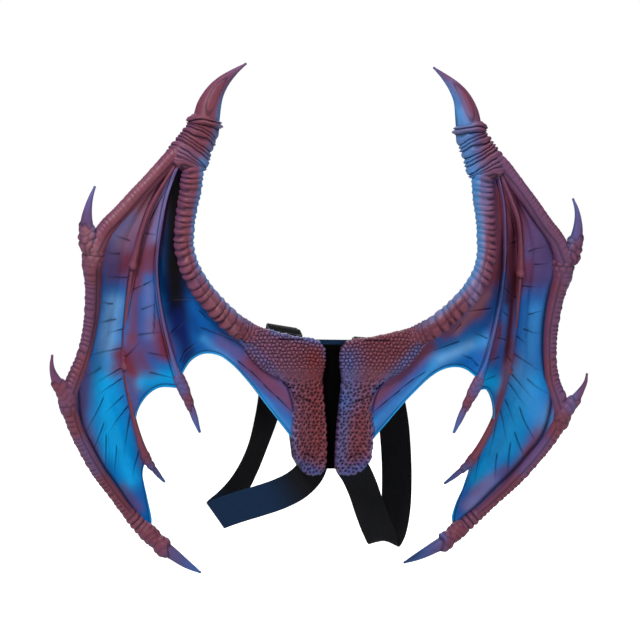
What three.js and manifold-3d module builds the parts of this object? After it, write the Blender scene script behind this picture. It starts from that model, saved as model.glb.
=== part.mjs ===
// Costume dragon wings: a mirrored pair of moulded foam wings on a back panel with elastic shoulder loops.
// Millimetres, +Z up. The decorated side faces -Y and the wearer is on the +Y side.
// The origin is the middle of the panel's face that lies on the wearer's back.
import * as THREE from 'three';
import { mergeVertices } from 'three/addons/utils/BufferGeometryUtils.js';
import Module from 'manifold-3d';

const wasm = await Module();
wasm.setup();

// Driving dimensions of one wing, from the middle line out.
const wingReach = 340;
const wingHeight = 622;
const wingSweep = 135;
const sheetThickness = 3;
const sheetBillow = 8;
const wingHang = 8;

// Full widths and depths of the foam ribs, spars, arm and claws.
const sparWidth = 18;
const armWidth = 24;
const collarWidth = 50;
const clawWidth = 32;
const ribWidth = 9;
const ribClawWidth = 15;
const ringHeight = 1.6;
const armRings = 20;
const collarRings = 9;

// Shoulder plates, the panel behind them and the webbing.
const plateThickness = 9;
const plateCrown = 5;
const panelWidth = 84;
const panelHeight = 150;
const panelThickness = 4;
const panelCorner = 9;
const panelMiddle = 4;
const webbingWidth = 38;
const webbingThickness = 1.8;
const yokeWidth = 150;
const yokeRise = 6;
const loopHeight = 180;
const loopDepth = 92;
const loopSpread = 130;

// Sliders on the webbing.
const sliderLength = 26;
const sliderThickness = 2.4;
const sliderBar = 3;
const sliderRim = 2;

// Clearance between pieces that touch.
const clearance = 0.3;

// The front of the plates' inner edges lies this far in front of the wearer's side of the panel.
const frontPlane = -(panelThickness + clearance + plateThickness);
const yokeBack = clearance + webbingThickness;

const foamMaroon = new THREE.MeshStandardMaterial({ color: 0x6e3540, roughness: 0.55, metalness: 0 });
const foamScales = new THREE.MeshStandardMaterial({ color: 0x5a2f3c, roughness: 0.5, metalness: 0 });
const foamBlue = new THREE.MeshStandardMaterial({ color: 0x1f7fb4, roughness: 0.5, metalness: 0 });
const foamClaw = new THREE.MeshStandardMaterial({ color: 0x6a5a72, roughness: 0.45, metalness: 0 });
const elastic = new THREE.MeshStandardMaterial({ color: 0x1a1a1d, roughness: 0.9, metalness: 0 });
const moulded = new THREE.MeshStandardMaterial({ color: 0x101012, roughness: 0.4, metalness: 0 });

// Reads rows of numbers into objects with named columns.
const named = (columns, row) => Object.fromEntries(columns.map((name, i) => [name, row[i]]));
const table = (columns, rows) => rows.map((row) => named(columns, row));

// Stations of the foam skeleton. Columns x, y and z are shares of wingReach, wingSweep and wingHeight.
// Columns wide and deep are shares of the piece's own width.
const station = ['x', 'y', 'z', 'wide', 'deep'];

const wristClawRows = table(station, [
  [0.476, -0.05, 0.552, 1.0, 0.92],
  [0.466, -0.05, 0.580, 0.9, 0.84],
  [0.448, -0.06, 0.605, 0.70, 0.68],
  [0.421, -0.06, 0.626, 0.50, 0.50],
  [0.382, -0.06, 0.646, 0.26, 0.28],
  [0.341, -0.06, 0.663, 0.07, 0.08],
]);
const collarRows = table(station, [
  [0.479, -0.05, 0.557, 0.70, 0.60],
  [0.485, -0.05, 0.537, 0.72, 0.62],
  [0.499, -0.06, 0.520, 0.76, 0.62],
  [0.516, -0.07, 0.503, 0.84, 0.60],
  [0.531, -0.08, 0.487, 0.94, 0.58],
  [0.545, -0.09, 0.472, 0.98, 0.56],
  [0.553, -0.10, 0.457, 0.82, 0.50],
]);
const upperSparRows = table(station, [
  [0.565, -0.10, 0.495, 1.0, 1.0],
  [0.600, -0.11, 0.478, 1.0, 1.0],
  [0.636, -0.11, 0.455, 1.0, 1.05],
  [0.676, -0.11, 0.429, 1.0, 1.05],
  [0.718, -0.10, 0.403, 1.0, 1.0],
  [0.766, -0.08, 0.372, 1.0, 1.0],
  [0.815, -0.06, 0.341, 1.1, 1.05],
  [0.850, -0.04, 0.306, 1.3, 1.15],
]);
const middleSparRows = table(station, [
  [0.851, -0.03, 0.316, 1.18, 1.05],
  [0.854, 0.00, 0.299, 1.32, 1.20],
  [0.856, 0.04, 0.268, 1.26, 1.15],
  [0.849, 0.10, 0.241, 1.10, 1.05],
  [0.845, 0.19, 0.195, 1.0, 0.95],
  [0.848, 0.27, 0.151, 0.90, 0.85],
  [0.858, 0.33, 0.106, 0.88, 0.85],
  [0.874, 0.36, 0.071, 0.95, 0.90],
  [0.900, 0.36, 0.035, 1.05, 1.0],
  [0.918, 0.37, 0.005, 1.18, 1.1],
  [0.914, 0.40, -0.018, 1.05, 1.0],
]);
const lowerSparRows = table(station, [
  [0.917, 0.38, -0.006, 1.0, 0.95],
  [0.882, 0.48, -0.055, 0.92, 0.9],
  [0.841, 0.57, -0.095, 0.90, 0.85],
  [0.788, 0.69, -0.140, 0.85, 0.8],
  [0.729, 0.81, -0.180, 0.80, 0.8],
  [0.671, 0.90, -0.219, 0.80, 0.8],
  [0.624, 0.93, -0.245, 0.92, 0.9],
  [0.584, 0.93, -0.263, 1.0, 0.95],
]);
const tipClawRows = table(station, [
  [0.600, 0.93, -0.255, 0.56, 0.56],
  [0.571, 0.92, -0.268, 0.56, 0.56],
  [0.535, 0.90, -0.285, 0.60, 0.58],
  [0.494, 0.92, -0.300, 0.47, 0.46],
  [0.447, 0.96, -0.317, 0.31, 0.32],
  [0.391, 1.00, -0.334, 0.07, 0.08],
]);
const elbowClawRows = table(station, [
  [0.874, -0.04, 0.305, 0.62, 0.60],
  [0.881, -0.08, 0.331, 0.58, 0.56],
  [0.886, -0.12, 0.357, 0.46, 0.46],
  [0.882, -0.15, 0.381, 0.31, 0.32],
  [0.874, -0.16, 0.400, 0.18, 0.20],
  [0.862, -0.15, 0.418, 0.07, 0.08],
]);
const lowerClawRows = table(station, [
  [0.915, 0.37, 0.002, 0.60, 0.58],
  [0.935, 0.34, 0.018, 0.56, 0.54],
  [0.959, 0.31, 0.036, 0.44, 0.44],
  [0.975, 0.27, 0.054, 0.29, 0.30],
  [0.982, 0.22, 0.070, 0.17, 0.18],
  [0.982, 0.19, 0.086, 0.07, 0.08],
]);
const armRows = table(station, [
  [0.526, -0.09, 0.470, 1.0, 1.0],
  [0.524, -0.10, 0.450, 1.04, 1.0],
  [0.530, -0.10, 0.413, 1.02, 1.0],
  [0.541, -0.09, 0.378, 0.96, 0.96],
  [0.547, -0.08, 0.341, 0.94, 0.94],
  [0.546, -0.09, 0.305, 0.92, 0.94],
  [0.527, -0.11, 0.269, 0.94, 0.94],
  [0.485, -0.11, 0.230, 1.0, 0.96],
  [0.432, -0.09, 0.198, 1.0, 0.96],
  [0.371, -0.05, 0.168, 1.04, 0.88],
  [0.318, -0.01, 0.150, 1.04, 0.66],
  [0.280, 0.01, 0.140, 1.00, 0.56],
]);
const outerRibRows = table(station, [
  [0.590, -0.11, 0.462, 0.9, 1.0],
  [0.612, -0.10, 0.440, 0.9, 1.0],
  [0.640, -0.08, 0.412, 0.9, 1.0],
  [0.668, -0.05, 0.379, 0.9, 1.0],
  [0.688, 0.02, 0.341, 0.9, 1.0],
  [0.705, 0.12, 0.290, 1.25, 1.25],
  [0.712, 0.18, 0.262, 0.9, 1.0],
  [0.716, 0.25, 0.224, 0.9, 1.0],
  [0.719, 0.31, 0.186, 0.9, 1.0],
  [0.720, 0.39, 0.138, 0.9, 1.0],
  [0.715, 0.46, 0.088, 1.25, 1.25],
  [0.705, 0.49, 0.048, 0.9, 1.0],
  [0.688, 0.52, 0.006, 0.9, 1.0],
  [0.668, 0.58, -0.035, 0.95, 1.0],
  [0.641, 0.67, -0.077, 1.05, 1.1],
  [0.612, 0.76, -0.112, 1.25, 1.2],
]);
const outerRibClawRows = table(station, [
  [0.622, 0.73, -0.101, 0.86, 0.80],
  [0.604, 0.78, -0.118, 0.80, 0.72],
  [0.583, 0.82, -0.131, 0.58, 0.54],
  [0.559, 0.88, -0.146, 0.33, 0.34],
  [0.535, 0.93, -0.159, 0.10, 0.12],
]);
const innerRibRows = table(station, [
  [0.570, -0.12, 0.470, 0.9, 1.0],
  [0.586, -0.11, 0.448, 0.9, 1.0],
  [0.609, -0.07, 0.405, 0.9, 1.0],
  [0.626, 0.00, 0.336, 0.9, 1.0],
  [0.632, 0.06, 0.278, 0.9, 1.0],
  [0.624, 0.08, 0.225, 0.9, 1.0],
  [0.603, 0.07, 0.161, 1.0, 1.0],
  [0.571, 0.05, 0.096, 1.15, 1.1],
  [0.541, 0.05, 0.052, 1.6, 1.3],
]);
const innerRibClawRows = table(station, [
  [0.549, 0.05, 0.062, 1.0, 0.78],
  [0.530, 0.06, 0.040, 1.04, 0.78],
  [0.508, 0.08, 0.013, 0.80, 0.66],
  [0.488, 0.10, -0.013, 0.48, 0.44],
  [0.465, 0.12, -0.043, 0.10, 0.12],
]);

// Edges of the membranes where they hang free, from the outer side to the inner side of each panel.
const edge = ['x', 'y', 'z'];
const outerScallopRows = table(edge, [
  [0.575, 0.93, -0.256],
  [0.577, 0.98, -0.236],
  [0.594, 0.97, -0.200],
  [0.612, 0.90, -0.162],
  [0.618, 0.83, -0.136],
  [0.612, 0.76, -0.112],
]);
const middleScallopRows = table(edge, [
  [0.668, 0.58, -0.035],
  [0.664, 0.48, -0.010],
  [0.640, 0.36, 0.020],
  [0.600, 0.22, 0.040],
  [0.541, 0.05, 0.042],
]);
// The middle membrane's free edge leaves the outer rib at this row of the rib.
const middleScallopRow = 13;
// The column drop is this edge's own share of wingHang.
const innerScallopRows = table([...edge, 'drop'], [
  [0.545, 0.05, 0.062, 0],
  [0.505, 0.09, 0.086, 0.4],
  [0.458, 0.05, 0.096, 0.8],
  [0.408, 0.01, 0.092, 0.9],
  [0.360, -0.02, 0.076, 0.8],
  [0.300, -0.04, 0.044, 0.6],
  [0.246, -0.03, 0.010, 0.4],
  [0.190, -0.03, -0.026, 0.2],
  [0.125, -0.03, -0.068, 0],
]);

// Shoulder plate: z is a share of wingHeight and x of wingReach, so that the arm always runs into it.
const plateInnerRows = table(edge, [
  [0.030, 0.00, 0.122],
  [0.027, 0.00, 0.092],
  [0.034, 0.00, 0.056],
  [0.028, -0.01, 0.018],
  [0.020, -0.02, -0.030],
  [0.016, -0.02, -0.082],
  [0.017, 0.00, -0.112],
]);
const plateOuterRows = table(edge, [
  [0.312, -0.04, 0.166],
  [0.330, -0.03, 0.130],
  [0.262, -0.03, 0.080],
  [0.190, 0.00, 0.058],
  [0.153, 0.00, 0.034],
  [0.153, -0.03, -0.030],
  [0.139, -0.11, -0.090],
]);
const plateTopRows = table(edge, [
  [0.030, 0.00, 0.122],
  [0.060, -0.01, 0.136],
  [0.130, -0.02, 0.142],
  [0.215, -0.03, 0.152],
  [0.312, -0.04, 0.166],
]);
const plateBottomRows = table(edge, [
  [0.017, 0.00, -0.112],
  [0.040, 0.01, -0.125],
  [0.085, -0.03, -0.124],
  [0.118, -0.10, -0.108],
  [0.139, -0.11, -0.090],
]);
// Where the inner membrane leaves the back of the arm and the edge of the plate.
const innerRootRows = table(edge, [
  [0.528, -0.08, 0.458],
  [0.532, -0.08, 0.413],
  [0.545, -0.07, 0.360],
  [0.545, -0.07, 0.300],
  [0.503, -0.08, 0.245],
  [0.432, -0.07, 0.195],
  [0.350, -0.03, 0.155],
  [0.240, 0.00, 0.098],
  [0.140, 0.01, 0.060],
  [0.105, 0.01, 0.010],
  [0.100, -0.01, -0.048],
]);

// Stations of a shoulder loop's webbing. x is a share of loopSpread, y of loopDepth behind the panel,
// z of loopHeight. wx, wy and wz give the direction of the webbing's width.
const webbing = ['x', 'y', 'z', 'wx', 'wy', 'wz'];
const leftLoopRows = table(webbing, [
  [-0.41, 0.00, 0.24, 1, 0, 0],
  [-0.41, 0.00, 0.36, 1, 0, -0.05],
  [-0.41, 0.02, 0.448, 1, 0, -0.10],
  [-0.405, 0.08, 0.488, 1, 0, -0.15],
  [-0.40, 0.19, 0.506, 1, 0, -0.15],
  [-0.395, 0.30, 0.524, 1, 0, -0.15],
  [-0.39, 0.41, 0.542, 1, 0, -0.15],
  [-0.385, 0.54, 0.540, 1, 0, -0.10],
  [-0.38, 0.70, 0.470, 1, 0, 0],
  [-0.38, 0.86, 0.320, 1, 0.10, 0],
  [-0.39, 0.96, 0.130, 1, 0.25, 0],
  [-0.43, 1.00, -0.050, 1, 0.50, 0],
  [-0.525, 0.97, -0.280, 1, 0.85, -0.20],
  [-0.62, 0.89, -0.430, 1, 0.90, -0.40],
  [-0.74, 0.79, -0.565, 0.90, 0.70, -0.60],
  [-0.87, 0.68, -0.665, 0.72, 0.40, -0.72],
  [-0.97, 0.58, -0.725, 0.62, 0.10, -0.78],
  [-0.985, 0.49, -0.735, 0.59, 0, -0.81],
  [-0.90, 0.42, -0.705, 0.45, 0, -0.89],
  [-0.755, 0.36, -0.665, 0.32, 0, -0.95],
  [-0.595, 0.29, -0.625, 0.26, 0, -0.96],
  [-0.42, 0.21, -0.575, 0.32, 0, -0.94],
  [-0.28, 0.13, -0.515, 0.55, 0, -0.83],
  [-0.18, 0.05, -0.435, 0.88, 0, -0.45],
  [-0.145, 0.00, -0.36, 1, 0, 0],
  [-0.145, 0.00, -0.27, 1, 0, 0],
]);
const rightLoopRows = table(webbing, [
  [0.40, 0.00, 0.18, 1, 0, 0],
  [0.40, 0.00, 0.30, 1, 0, 0],
  [0.40, 0.02, 0.375, 1, 0, 0],
  [0.405, 0.08, 0.415, 1, 0, 0],
  [0.42, 0.19, 0.433, 1, 0, 0],
  [0.435, 0.30, 0.451, 1, 0, 0],
  [0.45, 0.41, 0.469, 1, 0, 0],
  [0.48, 0.54, 0.465, 1, 0, 0],
  [0.56, 0.72, 0.39, 1, 0, 0.05],
  [0.66, 0.88, 0.25, 1, -0.05, 0.10],
  [0.755, 0.97, 0.09, 1, -0.15, 0.10],
  [0.82, 1.00, -0.10, 1, -0.25, 0.05],
  [0.85, 0.98, -0.31, 1, -0.30, 0],
  [0.855, 0.93, -0.52, 1, -0.20, 0],
  [0.83, 0.84, -0.72, 1, -0.10, 0],
  [0.765, 0.71, -0.865, 1, 0, -0.05],
  [0.67, 0.57, -0.925, 1, 0, -0.10],
  [0.58, 0.45, -0.84, 1, 0, -0.05],
  [0.48, 0.34, -0.70, 1, 0, 0.10],
  [0.385, 0.22, -0.55, 1, 0, 0.20],
  [0.29, 0.10, -0.435, 1, 0, 0.20],
  [0.21, 0.02, -0.36, 1, 0, 0.05],
  [0.19, 0.00, -0.30, 1, 0, 0],
  [0.19, 0.00, -0.22, 1, 0, 0],
]);
// The slider sits on the straight stretch behind the yoke, at this row of each loop.
const sliderRow = 5;

// Steps of the faceted surfaces.
const sparSides = 8;
const ribSides = 6;
const armSides = 9;
const collarSides = 10;
const clawSides = 8;
const stepsPerRing = 2;
const clawSteps = 5;
const ribClawSteps = 4;
const loopStep = 16;
const roundCollarSteps = 6;
const roundArmSteps = 14;
const plateColumns = 6;
const plateRowCount = 10;
const panelCornerSteps = 3;
const outerMembraneGrid = { columns: 5, rowCount: 14 };
const middleMembraneGrid = { columns: 3, rowCount: 10 };
const innerMembraneGrid = { columns: 5, rowCount: 10 };
const curveDivisions = 600;
// A seat over rings is smooth, and clears their tops.
const ringSeat = ringHeight / 2 + 3 * clearance;

// How much lower the right wing's border hangs than the middle of the pair, and the left wing's higher,
// as shares of wingHang. The foam is soft, so the two wings differ a little.
const hangRows = table(['z', 'drop'], [
  [0.67, -0.35],
  [0.45, -0.25],
  [0.33, 0],
  [0.20, 0.1],
  [0.09, 1],
  [0.00, 1],
  [-0.10, 0.6],
  [-0.20, 0.5],
  [-0.26, 0],
  [-0.34, -0.6],
]);
// The hang sets in between these shares of wingReach, further in towards the lower tip and the upper spar.
const hangStart = 0.70;
const hangEnd = 0.90;
const hangLowerLean = 1.6;
const hangUpperLean = 2;
const hangUpperFrom = 0.35;
function borderHang(x, z) {
  const next = hangRows.findIndex((row) => row.z <= z);
  if (next <= 0) return 0;
  const above = hangRows[next - 1];
  const below = hangRows[next];
  const share = (above.z - z) / (above.z - below.z);
  const lean = hangLowerLean * Math.max(0, -z) + hangUpperLean * Math.max(0, z - hangUpperFrom);
  const drop = THREE.MathUtils.lerp(above.drop, below.drop, share);
  return drop * THREE.MathUtils.smoothstep(x + lean, hangStart, hangEnd);
}

// Puts a row of shares into the wing's place, side 1 for the right wing and -1 for the left.
const place = (row, side) => new THREE.Vector3(
  side * row.x * wingReach,
  row.y * wingSweep + frontPlane,
  row.z * wingHeight - side * wingHang * (borderHang(row.x, row.z) + (row.drop ?? 0)),
);

// Makes a closed body from rings of points that each run the same way round, with flat ends.
function bodyFromRings(rings) {
  const sides = rings[0].length;
  const positions = rings.flat().flatMap((p) => [p.x, p.y, p.z]);
  const sum = (ring) => ring.reduce((total, p) => total.add(p), new THREE.Vector3());
  const ends = [rings[0], rings.at(-1)].map((ring) => sum(ring).divideScalar(sides));
  ends.forEach((p) => positions.push(p.x, p.y, p.z));
  const index = [];
  for (let i = 0; i < rings.length - 1; i++) {
    for (let j = 0; j < sides; j++) {
      const a = i * sides + j;
      const b = i * sides + ((j + 1) % sides);
      index.push(a, b, b + sides, a, b + sides, a + sides);
    }
  }
  const first = rings.length * sides;
  const lastRing = (rings.length - 1) * sides;
  for (let j = 0; j < sides; j++) {
    const next = (j + 1) % sides;
    index.push(first, next, j);
    index.push(first + 1, lastRing + j, lastRing + next);
  }
  return outward(positions, index);
}

// Turns the faces outward if the body's signed volume is negative.
function outward(positions, index) {
  const at = (i) => new THREE.Vector3().fromArray(positions, 3 * i);
  let volume = 0;
  for (let i = 0; i < index.length; i += 3) {
    volume += at(index[i]).dot(at(index[i + 1]).cross(at(index[i + 2])));
  }
  if (volume < 0) {
    for (let i = 0; i < index.length; i += 3) {
      [index[i], index[i + 1]] = [index[i + 1], index[i]];
    }
  }
  const geometry = new THREE.BufferGeometry();
  geometry.setAttribute('position', new THREE.Float32BufferAttribute(positions, 3));
  geometry.setIndex(index);
  return geometry;
}

// A curve through points that are given one for each row.
const throughPoints = (points) => new THREE.CatmullRomCurve3(points, false, 'centripetal');
const curveThrough = (rows, side) => throughPoints(rows.map((row) => place(row, side)));

// A curve through the rows' own values, such as widths, with each row at an even share of its length.
const evenCurve = (values) => new THREE.CatmullRomCurve3(values, false, 'catmullrom', 0.5);

// A horn or rod of foam along stations: elliptical sections square to the path, their short axis in front.
// The option rings adds that many raised rings, and grow makes a larger copy for cutting a seat.
function rod(rows, side, width, { sides, steps, rings = 0, grow = 0 }) {
  const path = curveThrough(rows, side);
  const sizes = evenCurve(rows.map((row) => new THREE.Vector3(row.wide, row.deep, 0)));
  const count = rings ? rings * stepsPerRing : steps;
  const sections = [];
  for (let i = 0; i <= count; i++) {
    const t = i / count;
    const tangent = path.getTangent(t);
    const centre = path.getPoint(t);
    if (i === 0) centre.addScaledVector(tangent, -grow);
    if (i === count) centre.addScaledVector(tangent, grow);
    const front = new THREE.Vector3(0, -1, 0);
    front.addScaledVector(tangent, -front.dot(tangent)).normalize();
    const across = new THREE.Vector3().crossVectors(tangent, front);
    const size = sizes.getPoint(t);
    const raised = rings ? ringHeight * (i % stepsPerRing ? 0.5 : -0.5) : 0;
    const halfWide = size.x * width / 2 + grow + raised;
    const halfDeep = size.y * width / 2 + grow + raised;
    const ring = [];
    for (let j = 0; j < sides; j++) {
      const angle = 2 * Math.PI * (j + 0.5) / sides;
      ring.push(centre.clone()
        .addScaledVector(across, halfWide * Math.cos(angle))
        .addScaledVector(front, halfDeep * Math.sin(angle)));
    }
    sections.push(ring);
  }
  return bodyFromRings(sections);
}

// A curve's first stretch as a function, whole if no share is given, and a straight line as a function.
const stretchOf = (curve, share = 1) => (t) => curve.getPoint(share * t);
const straight = (a, b) => (t) => a.clone().lerp(b, t);

// Surface between four edges: outer and inner run down, top and bottom run from outer to inner.
function betweenEdges(outer, inner, top, bottom) {
  const corners = [outer(0), inner(0), outer(1), inner(1)];
  return (u, v) => {
    const point = outer(v).multiplyScalar(1 - u);
    point.addScaledVector(inner(v), u);
    point.addScaledVector(top(u), 1 - v);
    point.addScaledVector(bottom(u), v);
    point.addScaledVector(corners[0], -(1 - u) * (1 - v));
    point.addScaledVector(corners[1], -u * (1 - v));
    point.addScaledVector(corners[2], -(1 - u) * v);
    point.addScaledVector(corners[3], -u * v);
    return point;
  };
}

// A closed slab between a front and a back surface, both functions of the shares u and v.
function slab(frontAt, backAt, columns, rowCount) {
  const positions = [];
  for (const at of [frontAt, backAt]) {
    for (let j = 0; j <= rowCount; j++) {
      for (let i = 0; i <= columns; i++) {
        const p = at(i / columns, j / rowCount);
        positions.push(p.x, p.y, p.z);
      }
    }
  }
  const layer = (columns + 1) * (rowCount + 1);
  const id = (i, j, back) => back * layer + j * (columns + 1) + i;
  const index = [];
  const quad = (a, b, c, d) => index.push(a, b, c, a, c, d);
  for (let j = 0; j < rowCount; j++) {
    for (let i = 0; i < columns; i++) {
      quad(id(i, j, 0), id(i + 1, j, 0), id(i + 1, j + 1, 0), id(i, j + 1, 0));
      quad(id(i, j, 1), id(i, j + 1, 1), id(i + 1, j + 1, 1), id(i + 1, j, 1));
    }
  }
  for (let i = 0; i < columns; i++) {
    quad(id(i, 0, 1), id(i + 1, 0, 1), id(i + 1, 0, 0), id(i, 0, 0));
    quad(id(i, rowCount, 0), id(i + 1, rowCount, 0), id(i + 1, rowCount, 1), id(i, rowCount, 1));
  }
  for (let j = 0; j < rowCount; j++) {
    quad(id(0, j, 0), id(0, j + 1, 0), id(0, j + 1, 1), id(0, j, 1));
    quad(id(columns, j, 1), id(columns, j + 1, 1), id(columns, j + 1, 0), id(columns, j, 0));
  }
  return outward(positions, index);
}

// A membrane panel: the surface between its edges, billowed towards the wearer, given its wall.
// The billow is deepest in the lower half and starts with billowPhase radians of its half wave at the top.
const billowPhase = 0.35;
const nearby = 0.004;
function membrane(surface, { columns, rowCount }, billow) {
  const billowed = (u, v) => {
    const point = surface(u, v);
    point.y += billow * Math.sin(Math.PI * u) * Math.sin(Math.PI / 2 * v + billowPhase);
    return point;
  };
  const normalAt = (u, v) => {
    const du = billowed(Math.min(u + nearby, 1), v).sub(billowed(Math.max(u - nearby, 0), v));
    const dv = billowed(u, Math.min(v + nearby, 1)).sub(billowed(u, Math.max(v - nearby, 0)));
    const normal = du.cross(dv).normalize();
    return normal.y > 0 ? normal.negate() : normal;
  };
  const offset = (share) => (u, v) => billowed(u, v).addScaledVector(normalAt(u, v), share * sheetThickness);
  return slab(offset(0.5), offset(-0.5), columns, rowCount);
}

// Solid from a closed geometry, and geometry from a solid.
const weldDistance = 1e-4;
function toSolid(geometry) {
  const bare = new THREE.BufferGeometry();
  bare.setAttribute('position', geometry.getAttribute('position').clone());
  bare.setIndex(geometry.getIndex() ? geometry.getIndex().clone() : null);
  const merged = mergeVertices(bare, weldDistance);
  const mesh = new wasm.Mesh({
    numProp: 3,
    vertProperties: new Float32Array(merged.getAttribute('position').array),
    triVerts: new Uint32Array(merged.getIndex().array),
  });
  mesh.merge();
  return new wasm.Manifold(mesh);
}

function toGeometry(solid) {
  const mesh = solid.getMesh();
  const geometry = new THREE.BufferGeometry();
  geometry.setAttribute('position', new THREE.Float32BufferAttribute(Array.from(mesh.vertProperties), 3));
  geometry.setIndex(Array.from(mesh.triVerts));
  return geometry;
}

// Cuts seats for the neighbours out of a piece and keeps its main body.
function seated(geometry, neighbours) {
  let solid = toSolid(geometry);
  for (const neighbour of neighbours) solid = solid.subtract(toSolid(neighbour));
  const bodies = solid.decompose();
  bodies.sort((a, b) => b.volume() - a.volume());
  return toGeometry(bodies[0].asOriginal());
}

const group = new THREE.Group();

function addPiece(name, geometry, material) {
  const mesh = new THREE.Mesh(geometry, material);
  mesh.name = name;
  group.add(mesh);
}

// The shoulder plate: front and back of the slab, the front crowned and the back flat on the panel.
// The crown reaches its height over crownReach of the width. A grown rim moves out by seatSpread times
// its growth.
const crownReach = 1 / 3;
const seatSpread = 1.5;
const onRim = 1e-6;
const insideShare = 0.1;
const alongRim = 0.01;
function plateSurfaces(side, grow) {
  const centre = betweenEdges(
    stretchOf(curveThrough(plateOuterRows, side)),
    stretchOf(curveThrough(plateInnerRows, side)),
    stretchOf(curveThrough([...plateTopRows].reverse(), side)),
    stretchOf(curveThrough([...plateBottomRows].reverse(), side)),
  );
  const backPlane = frontPlane + plateThickness;
  const inwards = (share) => THREE.MathUtils.lerp(share, 0.5, insideShare);
  // A rim point moves out square to the rim, and a corner away from the surface inside it.
  const spread = (u, v) => {
    const point = centre(u, v);
    const onSide = Math.min(u, 1 - u) < onRim;
    const onEnd = Math.min(v, 1 - v) < onRim;
    if (!grow || !(onSide || onEnd)) return point;
    const away = point.clone().sub(centre(inwards(u), inwards(v))).setY(0);
    if (onSide !== onEnd) {
      const along = onSide
        ? centre(u, v + alongRim).sub(centre(u, v - alongRim)).setY(0).normalize()
        : centre(u + alongRim, v).sub(centre(u - alongRim, v)).setY(0).normalize();
      away.addScaledVector(along, -away.dot(along));
    }
    return point.addScaledVector(away.normalize(), grow * seatSpread);
  };
  const front = (u, v) => {
    const point = spread(u, v);
    point.y -= plateCrown * Math.min(1, Math.min(u, 1 - u, v, 1 - v) / crownReach) + grow;
    return point;
  };
  const back = (u, v) => spread(u, v).setY(backPlane + grow);
  return { front, back };
}

function plate(side, grow = 0) {
  const { front, back } = plateSurfaces(side, grow);
  return slab(front, back, plateColumns, plateRowCount);
}

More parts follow.
